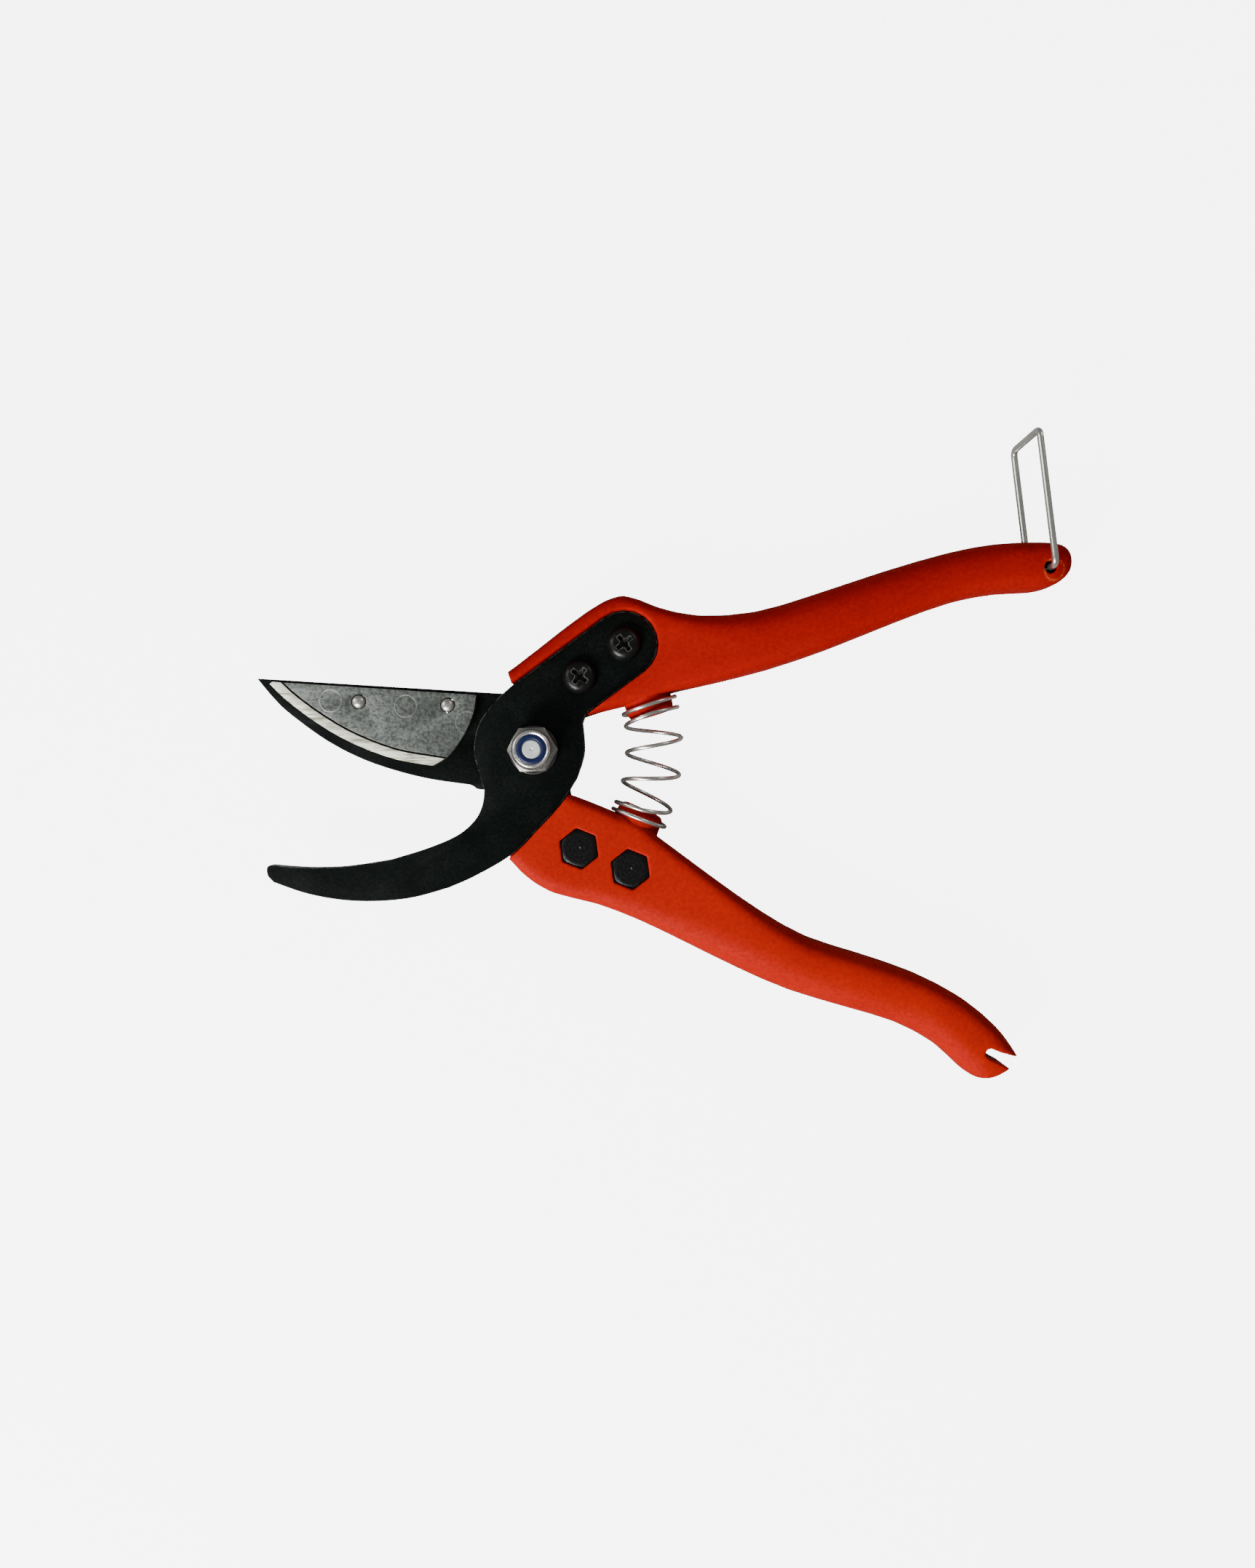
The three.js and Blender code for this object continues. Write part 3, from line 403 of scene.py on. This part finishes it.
def ground_metal():
    made, tree = material("ground_metal", {"Metallic": 0.35})
    place = node(tree, "TexCoord")
    slant = node(tree, "Mapping", {"Vector": place.outputs["Object"], "Rotation": (0, 0, math.radians(32)),
                                   "Scale": (110, 1150, 1)})
    marks = node(tree, "TexNoise", {"Vector": slant.outputs["Vector"], "Scale": 1.0, "Detail": 5.0,
                                    "Roughness": 0.7})
    strong = maths(tree, "MULTIPLY_ADD", maths(tree, "SUBTRACT", marks.outputs["Fac"], 0.5), 5.5, 0.6,
                   clamp=True)
    colour = node(tree, "Mix", {"Factor": strong, "A": GROUND_DARK, "B": GROUND_LIGHT}, data_type="RGBA")
    rough = maths(tree, "MULTIPLY_ADD", strong, -0.12, 0.5)
    bump = node(tree, "Bump", {"Height": strong, "Strength": 0.35, "Distance": 0.00008})
    feed(tree, {"Base Color": colour.outputs["Result"], "Roughness": rough,
                "Normal": bump.outputs["Normal"]})
    return made


coat, ground = black_coat(), ground_metal()
broken_edges(piece("hook_plate", blanked("hook"), coat, "hook_side", "hook_steel", "hook"), 0.3 * MM)
bm = blanked("blade")
for face in bm.faces:
    # Only the ground bevel leans this way.
    face.material_index = int(-0.97 < face.normal.z < -0.5)
blade = piece("blade_plate", bm, coat, "blade_side", "blade_steel", "blade")
blade.data.materials.append(ground)
broken_edges(blade, 0.12 * MM, 2)

# ---- Holding plate ----
# A die-cast plate riveted to the blade. Its field is tumbled grey, with the rings of ejector pins.
# Beyond a groove, its rim is ground bright, with slanting marks, where it grips the stem. The groove's
# floor is painted black, as shade.

CAST_DARK = (0.070, 0.077, 0.070, 1)
CAST_LIGHT = (0.17, 0.183, 0.167, 1)
EJECTOR_PINS = ((-48.1, 11.8), (-30.4, 10.5), (-15.9, 6.6))
PIN_RING = 2.6 * MM
RIM, GROOVE_PAINTED_SHADE = 1, 2


def cast_metal():
    made, tree = material("cast_metal", {"Metallic": 0.55})
    clouds = place_group(tree, mottle, {"Scale": 260.0, "Contrast": 2.4})
    specks = place_group(tree, mottle, {"Scale": 1400.0, "Contrast": 4.5})
    tone = maths(tree, "ADD", maths(tree, "MULTIPLY", clouds.outputs["Mask"], 0.13),
                 maths(tree, "MULTIPLY", specks.outputs["Mask"], 0.62))
    edges = place_group(tree, wear, {"Amount": 0.9, "Width": 0.00025})
    tone = maths(tree, "ADD", tone, edges.outputs["Mask"])
    height = specks.outputs["Mask"]
    for x, y in EJECTOR_PINS:
        ring = place_group(tree, ejector, {"Centre": (x * MM, y * MM, 0.0), "Radius": PIN_RING,
                                           "Line": 0.00022})
        tone = maths(tree, "MULTIPLY_ADD", ring.outputs["Ring"], 1.1, tone)
        height = maths(tree, "MULTIPLY_ADD", ring.outputs["Ring"], 1.5, height)
    tone = maths(tree, "MINIMUM", tone, 1.6)
    colour = node(tree, "Mix", {"Factor": tone, "A": CAST_DARK, "B": CAST_LIGHT}, data_type="RGBA",
                  clamp_factor=False)
    rough = maths(tree, "MULTIPLY_ADD", specks.outputs["Mask"], 0.2, 0.36)
    bump = node(tree, "Bump", {"Height": height, "Strength": 0.3, "Distance": 0.0001})
    feed(tree, {"Base Color": colour.outputs["Result"], "Roughness": rough,
                "Normal": bump.outputs["Normal"]})
    return made


near_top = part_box("holding_plate")[1].z - 0.1 * MM
bm = blanked("holding_plate")
tops = [f for f in bm.faces if f.normal.z > 0.9 and f.calc_center_median().z > near_top]
# The groove's floor takes the black coat: painted shade in the step between field and rim.
for face in bm.faces:
    if face.normal.z > 0.9 and face.calc_center_median().z < near_top:
        face.material_index = GROOVE_PAINTED_SHADE
# The rim's top is the one that reaches the plate's lowest point.
min(tops, key=lambda f: min(v.co.y for v in f.verts)).material_index = RIM
holding = piece("cast_holding_plate", bm, cast_metal(), "blade_side", "cast_metal", "holding_plate")
holding.data.materials.append(ground)
# The black coat here is painted shade on the groove's floor.
holding.data.materials.append(coat)
broken_edges(holding, 0.15 * MM, 2)

# ---- Plate rivets ----
# Two steel pins hold the plate to the blade. Each stands in a slightly larger hole, and its end is
# rounded over to a small dome.

DOME_HEIGHT = 1.2 * MM


def lathe(profile, centre, segments=64):
    """A turned bmesh from (radius, height) pairs that start and end on the axis, or that close."""
    bm = bmesh.new()
    points = [bm.verts.new((centre[0] + radius, centre[1], height)) for radius, height in profile]
    edges = [bm.edges.new(pair) for pair in zip(points, points[1:])]
    bmesh.ops.spin(bm, geom=points + edges, cent=(centre[0], centre[1], 0), axis=(0, 0, 1),
                   angle=math.tau, steps=segments, use_merge=True)
    bmesh.ops.remove_doubles(bm, verts=bm.verts, dist=1e-7)
    bmesh.ops.recalc_face_normals(bm, faces=bm.faces)
    return bm


def bright_steel(name, tone, rough_low, rough_span):
    """Bare or zinc-plated steel: faintly clouded, with fine turning or drawing marks."""
    made, tree = material(name, {"Metallic": 0.9})
    clouds = place_group(tree, mottle, {"Scale": 420.0, "Contrast": 2.6})
    specks = place_group(tree, mottle, {"Scale": 2200.0, "Contrast": 4.0})
    dark = tuple(0.72 * v for v in tone[:3]) + (1,)
    colour = node(tree, "Mix", {"Factor": clouds.outputs["Mask"], "A": dark, "B": tone},
                  data_type="RGBA")
    rough = maths(tree, "MULTIPLY_ADD", specks.outputs["Mask"], rough_span, rough_low)
    bump = node(tree, "Bump", {"Height": specks.outputs["Mask"], "Strength": 0.12, "Distance": 0.00006})
    feed(tree, {"Base Color": colour.outputs["Result"], "Roughness": rough,
                "Normal": bump.outputs["Normal"]})
    return made


def axis_of(low, high):
    """Where an upright piece's axis stands, from the corners of its box."""
    return (low.x + high.x) / 2, (low.y + high.y) / 2


rivet_steel = bright_steel("rivet_steel", (0.62, 0.60, 0.56, 1), 0.26, 0.15)
for i in (1, 2):
    low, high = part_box(f"plate_rivet_{i}")
    radius = (high.x - low.x) / 2
    dome = [(0, low.z), (radius, low.z), (radius, high.z - DOME_HEIGHT)]
    for step in range(1, 9):
        turn = math.radians(90 * step / 8)
        dome.append((radius * math.cos(turn) ** 0.8 if step < 8 else 0,
                     high.z - DOME_HEIGHT + DOME_HEIGHT * math.sin(turn)))
    rivet = piece(f"rivet_pin_{i}", lathe(dome, axis_of(low, high)), rivet_steel, "blade_side",
                  "plated_steel", f"plate_rivet_{i}")
    rivet.data.shade_smooth()

# ---- Tang screws and nuts ----
# Black-oxide M4 pan-head screws with a cross recess, worn to bare metal at the recess, pull on
# hexagon nuts that sit in moulded pockets. A nut's closed end is faced, which leaves faint rings.

SCREW_BLACK = (0.003, 0.0034, 0.003, 1)
SCREW_WORN = (0.24, 0.23, 0.21, 1)
NUT_FLATS = 8.0
RECESS_TURNS = {1: 52, 2: 38}
NUT_TURNS = {"hook": -36.3, "blade": -21.9}


def black_oxide(name, worn_amount):
    made, tree = material(name, {"Specular IOR Level": 0.24})
    specks = place_group(tree, mottle, {"Scale": 1300.0, "Contrast": 3.5})
    edges = place_group(tree, wear, {"Amount": worn_amount, "Width": 0.00035, "Scale": 900.0})
    colour = node(tree, "Mix", {"Factor": edges.outputs["Mask"], "A": SCREW_BLACK, "B": SCREW_WORN},
                  data_type="RGBA")
    rough = maths(tree, "MULTIPLY_ADD", specks.outputs["Mask"], 0.18, 0.26)
    metal = maths(tree, "MULTIPLY_ADD", edges.outputs["Mask"], 0.6, 0.2)
    bump = node(tree, "Bump", {"Height": specks.outputs["Mask"], "Strength": 0.15, "Distance": 0.0001})
    feed(tree, {"Base Color": colour.outputs["Result"], "Roughness": rough, "Metallic": metal,
                "Normal": bump.outputs["Normal"]})
    return made


def combined(bm, tool, operation):
    """One bmesh cut by another, joined to it, or kept inside it."""
    made, cutter = scratch(bm), scratch(tool)
    boolean = made.modifiers.new("combine", "BOOLEAN")
    boolean.object = cutter
    boolean.operation = operation
    boolean.solver = "EXACT"
    boolean.use_self = True
    result = evaluated(made)
    bpy.data.objects.remove(made)
    bpy.data.objects.remove(cutter)
    return result


def turn_over(bm, low, high):
    """Turns a bmesh over in its place, given by the corners of its box."""
    height = (low.z + high.z) / 2
    bmesh.ops.translate(bm, verts=bm.verts, vec=(0, -(low.y + high.y), 0))
    spin = Matrix.Translation((0, 0, height)) @ Matrix.Rotation(math.pi, 4, "X") \
        @ Matrix.Translation((0, 0, -height))
    bmesh.ops.transform(bm, matrix=spin, verts=bm.verts)


def turn_about_z(bm, verts, degrees):
    """Turns some of a bmesh about the Z axis."""
    bmesh.ops.rotate(bm, verts=verts, cent=(0, 0, 0),
                     matrix=Matrix.Rotation(math.radians(degrees), 3, "Z"))


def cross_recess(centre, top, turn):
    """The cross-point driver's shape: four wings that taper to the bottom of the recess."""
    bm = bmesh.new()
    for quarter in (0, 90):
        wing = bmesh.ops.create_cube(bm, size=1)["verts"]
        for v in wing:
            deep = v.co.z < 0
            v.co.x *= (2.2 if deep else 5.0) * MM
            v.co.y *= (0.75 if deep else 1.15) * MM
            v.co.z = -1.9 * MM if deep else 0.6 * MM
        turn_about_z(bm, wing, quarter)
    # A small round well joins the wings at the middle.
    well = bmesh.ops.create_cone(bm, cap_ends=True, segments=24, radius1=0.55 * MM, radius2=1.25 * MM,
                                 depth=2.5 * MM)["verts"]
    bmesh.ops.translate(bm, verts=well, vec=(0, 0, -0.65 * MM))
    turn_about_z(bm, bm.verts, turn)
    bmesh.ops.translate(bm, verts=bm.verts, vec=(centre[0], centre[1], top))
    return bm


def pan_head(low, high, turn):
    """A screw between two heights, with its head and recess at the top."""
    centre = axis_of(low, high)
    top = high.z
    radius = (high.x - low.x) / 2
    seat = top - 2.6 * MM
    profile = [(0, low.z), (1.6 * MM, low.z), (2 * MM, low.z + 0.4 * MM), (2 * MM, seat), (radius, seat)]
    for step in range(9):
        bend = math.radians(90 * step / 8)
        profile.append((radius - 1.9 * MM * (1 - math.cos(bend)) ** 0.9,
                        seat + 0.7 * MM + 1.9 * MM * math.sin(bend)))
    profile.append((0, top))
    return combined(lathe(profile, centre), cross_recess(centre, top, turn), "DIFFERENCE")


def hexagon_bar(corner, centre, low_z, high_z, turn):
    """A plain hexagon bar between two heights. A corner points along turn, in degrees."""
    bm = bmesh.new()
    bmesh.ops.create_cone(bm, cap_ends=True, segments=6, radius1=corner, radius2=corner,
                          depth=high_z - low_z)
    # The plain bar's corners stand at 30 degrees and every 60 from there.
    turn_about_z(bm, bm.verts, turn + 30)
    bmesh.ops.translate(bm, verts=bm.verts, vec=(*centre, (low_z + high_z) / 2))
    return bm


def faced_nut(low, high, turn):
    """A hexagon nut with its faced, closed end at the top."""
    centre = axis_of(low, high)
    top = high.z
    corner = NUT_FLATS / 2 / math.cos(math.radians(30)) * MM
    bm = hexagon_bar(corner, centre, low.z, high.z, turn)
    profile = [(0, low.z - MM), (corner + MM, low.z - MM), (corner + MM, top - 0.9 * MM),
               (NUT_FLATS / 2 * 0.93 * MM, top)]
    for ring in (2.8, 1.9, 1.0):
        profile += [((ring + 0.3) * MM, top), (ring * MM, top - 0.035 * MM), ((ring - 0.3) * MM, top)]
    profile += [(0.45 * MM, top), (0, top - 0.35 * MM)]
    return combined(bm, lathe(profile, centre), "INTERSECT")


screw_black, nut_black = black_oxide("screw_black", 2.2), black_oxide("nut_black", 0.15)
for side, body, head_up in (("hook", "hook_side", True), ("blade", "blade_side", False)):
    for i, turn in RECESS_TURNS.items():
        low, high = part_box(f"{side}_screw_{i}")
        bm = pan_head(low, high, turn)
        if not head_up:
            turn_over(bm, low, high)
        broken_edges(piece(f"{side}_pan_head_{i}", bm, screw_black, body, "black_screw",
                           f"{side}_screw_{i}"), 0.07 * MM, 2)
        low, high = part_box(f"{side}_nut_{i}")
        bm = faced_nut(low, high, NUT_TURNS[side])
        if head_up:
            turn_over(bm, low, high)
        broken_edges(piece(f"{side}_hexagon_nut_{i}", bm, nut_black, body, "black_screw",
                           f"{side}_nut_{i}"), 0.05 * MM, 1)

# ---- Pivot ----
# A zinc-plated M6 bolt and lock nut with a washer under each. The nut's collar is rolled over a blue
# nylon ring, which grips the bolt's end.

ZINC_PAINTED_HIGHLIGHT = (0.72, 0.71, 0.68, 1)
NYLON_BLUE = (0.004, 0.010, 0.055, 1)
PIVOT_FLATS = 10 * MM
SHANK_RADIUS = 2.98 * MM
BORE_RADIUS = 3.15 * MM
COLLAR_RADIUS = 4.38 * MM
LIP = 0.5 * MM


def bevelled_hexagon(low_z, high_z, turn, low_chamfer, high_chamfer):
    """A hexagon bar on the pivot axis, with its ends' corners turned off."""
    corner = PIVOT_FLATS / 2 / math.cos(math.radians(30))
    bm = hexagon_bar(corner, (0, 0), low_z, high_z, turn)
    profile = [(0, low_z), (PIVOT_FLATS / 2 * 0.96, low_z), (corner, low_z + low_chamfer),
               (corner, high_z - high_chamfer), (PIVOT_FLATS / 2 * 0.96, high_z), (0, high_z)]
    return combined(bm, lathe(profile, (0, 0)), "INTERSECT")


# The nut's rolled lip and its hexagon share one plating. The lip's bright zinc is a painted highlight, and
# the hexagon's darker zinc is painted shade.
zinc = bright_steel("zinc_plate_painted_highlight", ZINC_PAINTED_HIGHLIGHT, 0.16, 0.2)
hex_zinc_painted_shade = bright_steel("hex_zinc_painted_shade", (0.27, 0.26, 0.24, 1), 0.22, 0.2)
# The washers' zinc is the same plating made near black: painted shade.
washer_zinc_painted_shade = bright_steel("washer_zinc_painted_shade", (0.075, 0.072, 0.066, 1), 0.3, 0.2)
frosted_zinc = bright_steel("frosted_zinc", (0.62, 0.66, 0.64, 1), 0.5, 0.2)
frosted_zinc.node_tree.nodes["Principled BSDF"].inputs["Metallic"].default_value = 0.4
bolt_low, bolt_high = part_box("pivot_bolt")
head_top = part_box("rear_washer")[0].z
end_z = bolt_high.z
head = bevelled_hexagon(bolt_low.z, head_top, 12, 0.6 * MM, 0.05 * MM)
shank = lathe([(0, head_top - 1.5 * MM), (SHANK_RADIUS, head_top - 1.5 * MM),
               (SHANK_RADIUS, end_z - 1.1 * MM), (2.05 * MM, end_z - 0.12 * MM), (1.92 * MM, end_z),
               (0.45 * MM, end_z), (0.3 * MM, end_z - 0.12 * MM), (0, end_z - 0.3 * MM)], (0, 0))
bolt = piece("zinc_pivot_bolt", combined(head, shank, "UNION"), frosted_zinc, "hook_side", "plated_steel",
             "pivot_bolt")
broken_edges(bolt, 0.08 * MM, 2)
# The washers take the near-black zinc, painted shade.
for name in ("rear_washer", "front_washer"):
    low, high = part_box(name)
    rim = [(BORE_RADIUS, low.z), (high.x, low.z), (high.x, high.z), (BORE_RADIUS, high.z),
           (BORE_RADIUS, low.z)]
    washer = piece(f"zinc_{name}", lathe(rim, (0, 0), 96), washer_zinc_painted_shade, "hook_side", "plated_steel", name)
    broken_edges(washer, 0.18 * MM, 2)

low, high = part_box("lock_nut")
shoulder = high.z - 1.4 * MM
collar = [(BORE_RADIUS, shoulder - 0.4 * MM), (4.45 * MM, shoulder - 0.4 * MM), (4.4 * MM, shoulder),
          (COLLAR_RADIUS, high.z - 0.75 * MM)]
for step in range(1, 7):
    turn = math.radians(100 * step / 6)
    collar.append((COLLAR_RADIUS - LIP * (1 - math.cos(turn)), high.z - LIP + LIP * math.sin(turn)))
collar += [(3.5 * MM, high.z - 0.35 * MM), (3.5 * MM, high.z - 1.3 * MM),
           (BORE_RADIUS, high.z - 1.35 * MM), (BORE_RADIUS, shoulder - 0.4 * MM)]
hexagon = bevelled_hexagon(low.z, shoulder, 2, 0.4 * MM, 0.75 * MM)
bore = bmesh.new()
bmesh.ops.create_cone(bore, cap_ends=True, segments=64, radius1=BORE_RADIUS, radius2=BORE_RADIUS,
                      depth=0.05)
nut_body = combined(hexagon, bore, "DIFFERENCE")
bm = combined(nut_body, lathe(collar, (0, 0), 96), "UNION")
for face in bm.faces:
    # The rolled lip takes the bright zinc, a painted highlight. The rest keeps the darker zinc, painted
    # shade.
    face.material_index = int(face.calc_center_median().z > high.z - 0.8 * MM)
nut = piece("zinc_lock_nut", bm, hex_zinc_painted_shade, "hook_side", "plated_steel", "lock_nut")
nut.data.materials.append(zinc)
broken_edges(nut, 0.12 * MM, 2)


def nylon_blue():
    made, tree = material("blue_nylon", {"Specular IOR Level": 0.3})
    clouds = place_group(tree, mottle, {"Scale": 600.0, "Contrast": 1.6})
    deep = tuple(0.6 * v for v in NYLON_BLUE[:3]) + (1,)
    colour = node(tree, "Mix", {"Factor": clouds.outputs["Mask"], "A": NYLON_BLUE, "B": deep},
                  data_type="RGBA")
    rough = maths(tree, "MULTIPLY_ADD", clouds.outputs["Mask"], 0.15, 0.3)
    feed(tree, {"Base Color": colour.outputs["Result"], "Roughness": rough})
    return made


low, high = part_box("lock_nut_ring")
ring = [(3.1 * MM, low.z), (3.45 * MM, low.z), (3.45 * MM, high.z - 0.15 * MM), (3.3 * MM, high.z),
        (2.42 * MM, high.z), (2.24 * MM, high.z - 0.12 * MM), (2.24 * MM, end_z - 0.15 * MM),
        (3.1 * MM, end_z - 1.1 * MM), (3.1 * MM, low.z)]
insert = piece("blue_nylon_ring", lathe(ring, (0, 0), 96), nylon_blue(), "hook_side", "blue_nylon",
               "lock_nut_ring")
insert.data.shade_smooth()

# ---- Spring ----
# One length of bright spring wire, coiled close round a boss on each handle and open between them.

WIRE = 1.0 * MM
WIRE_DARK = (0.52, 0.51, 0.47, 1)
WIRE_LIGHT = (0.74, 0.73, 0.67, 1)
COIL_RADIUS = 6.5 * MM
END_TURNS, END_PITCH, OPEN_TURNS = 1.25, 2.2 * MM, 3
SEAT_LIFT = WIRE / 2 + 0.3 * MM
REACH = 9 * MM
STEPS_PER_TURN = 44


def seat(x, y, facing):
    """A spring seat, from millimetres and degrees: where the wire starts, and the way the seat faces."""
    away = Vector((math.cos(math.radians(facing)), math.sin(math.radians(facing)), 0))
    return Vector((x * MM, y * MM, MID_Z)) + away * SEAT_LIFT, away


def tube(name, points, diameter, finish, slot, *replaced):
    """A round wire through the points, with flat ends, as a mesh."""
    curve = bpy.data.curves.new(name, "CURVE")
    curve.dimensions = "3D"
    curve.bevel_depth = diameter / 2
    curve.bevel_resolution = 4
    curve.use_fill_caps = True
    spline = curve.splines.new("POLY")
    spline.points.add(len(points) - 1)
    for point, place in zip(spline.points, points):
        point.co = (*place, 1)
    carrier = bpy.data.objects.new("carrier", curve)
    bpy.context.scene.collection.objects.link(carrier)
    bm = evaluated(carrier)
    bpy.data.objects.remove(carrier)
    bmesh.ops.remove_doubles(bm, verts=bm.verts, dist=1e-7)
    made = piece(name, bm, finish, None, slot, *replaced)
    made.data.shade_smooth()
    return made


start, start_way = seat(26.8, 11.9, -73.7)
end, end_way = seat(24.1, -17.2, 65.1)
middles = [start, start + start_way * REACH, end + end_way * REACH, end]


def on_middle_line(t):
    """The point and direction at t along the coil's curved middle line."""
    a, b, c, d = middles
    place = a * (1 - t) ** 3 + b * 3 * t * (1 - t) ** 2 + c * 3 * t * t * (1 - t) + d * t ** 3
    way = (b - a) * (1 - t) ** 2 + (c - b) * 2 * t * (1 - t) + (d - c) * t * t
    return place, way.normalized()


marks = [on_middle_line(i / 60)[0] for i in range(61)]
line_length = sum((first - last).length for first, last in zip(marks, marks[1:]))
closed = END_TURNS * END_PITCH / line_length
turns = 2 * END_TURNS + OPEN_TURNS
steps = round(turns * STEPS_PER_TURN)
coil = []
for i in range(steps + 1):
    turn = turns * i / steps
    if turn < END_TURNS:
        share = closed * turn / END_TURNS
    elif turns - turn < END_TURNS:
        share = 1 - closed * (turns - turn) / END_TURNS
    else:
        share = closed + (1 - 2 * closed) * (turn - END_TURNS) / OPEN_TURNS
    place, way = on_middle_line(share)
    sideways = Vector((-way.y, way.x, 0))
    angle = math.tau * turn
    upward = Vector((0, 0, COIL_RADIUS * math.sin(angle)))
    coil.append(place + sideways * COIL_RADIUS * math.cos(angle) + upward)

def drawn_wire():
    """Bright drawn wire, a little uneven from handling."""
    made, tree = material("drawn_wire", {"Metallic": 0.95})
    clouds = place_group(tree, mottle, {"Scale": 160.0, "Contrast": 1.5})
    specks = place_group(tree, mottle, {"Scale": 2600.0, "Contrast": 2.0})
    colour = node(tree, "Mix", {"Factor": clouds.outputs["Mask"], "A": WIRE_DARK, "B": WIRE_LIGHT},
                  data_type="RGBA")
    rough = maths(tree, "MULTIPLY_ADD", specks.outputs["Mask"], 0.1, 0.2)
    feed(tree, {"Base Color": colour.outputs["Result"], "Roughness": rough})
    return made


spring_wire = drawn_wire()
spring = tube("coil_spring", coil, WIRE, spring_wire, "spring_steel", "spring")
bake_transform(spring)

# ---- Latch wire ----
# A length of bright steel wire bent to a loop, with both ends turned into a hole through the upper
# handle. It swings round the handle's end, and its crossbar drops into the lower handle's notch.

LATCH_WIRE = 1.6 * MM
BEND = 2 * MM
TOE = 5 * MM
REST_ANGLE = math.radians(97)
LOOP_LENGTH = 31.3

low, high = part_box("latch_wire")
hole = Vector(next(j for j in frame["joints"] if j["name"] == "latch_swing")["pos_m"])
crossbar = hole + Vector((math.cos(REST_ANGLE), math.sin(REST_ANGLE), 0)) * LOOP_LENGTH * MM
leg_low, leg_high = low.z + LATCH_WIRE / 2, high.z - LATCH_WIRE / 2
corners = [Vector((hole.x, hole.y, leg_low + TOE)), Vector((hole.x, hole.y, leg_low)),
           Vector((crossbar.x, crossbar.y, leg_low)), Vector((crossbar.x, crossbar.y, leg_high)),
           Vector((hole.x, hole.y, leg_high)), Vector((hole.x, hole.y, leg_high - TOE))]
path = [corners[0]]
for before, corner, after in zip(corners, corners[1:], corners[2:]):
    enter = corner + (before - corner).normalized() * BEND
    leave = corner + (after - corner).normalized() * BEND
    for i in range(11):
        t = i / 10
        path.append(enter * (1 - t) ** 2 + corner * 2 * t * (1 - t) + leave * t * t)
path.append(corners[-1])
latch = tube("wire_latch", path, LATCH_WIRE, spring_wire, "spring_steel", "latch_wire")
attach(latch, "latch")
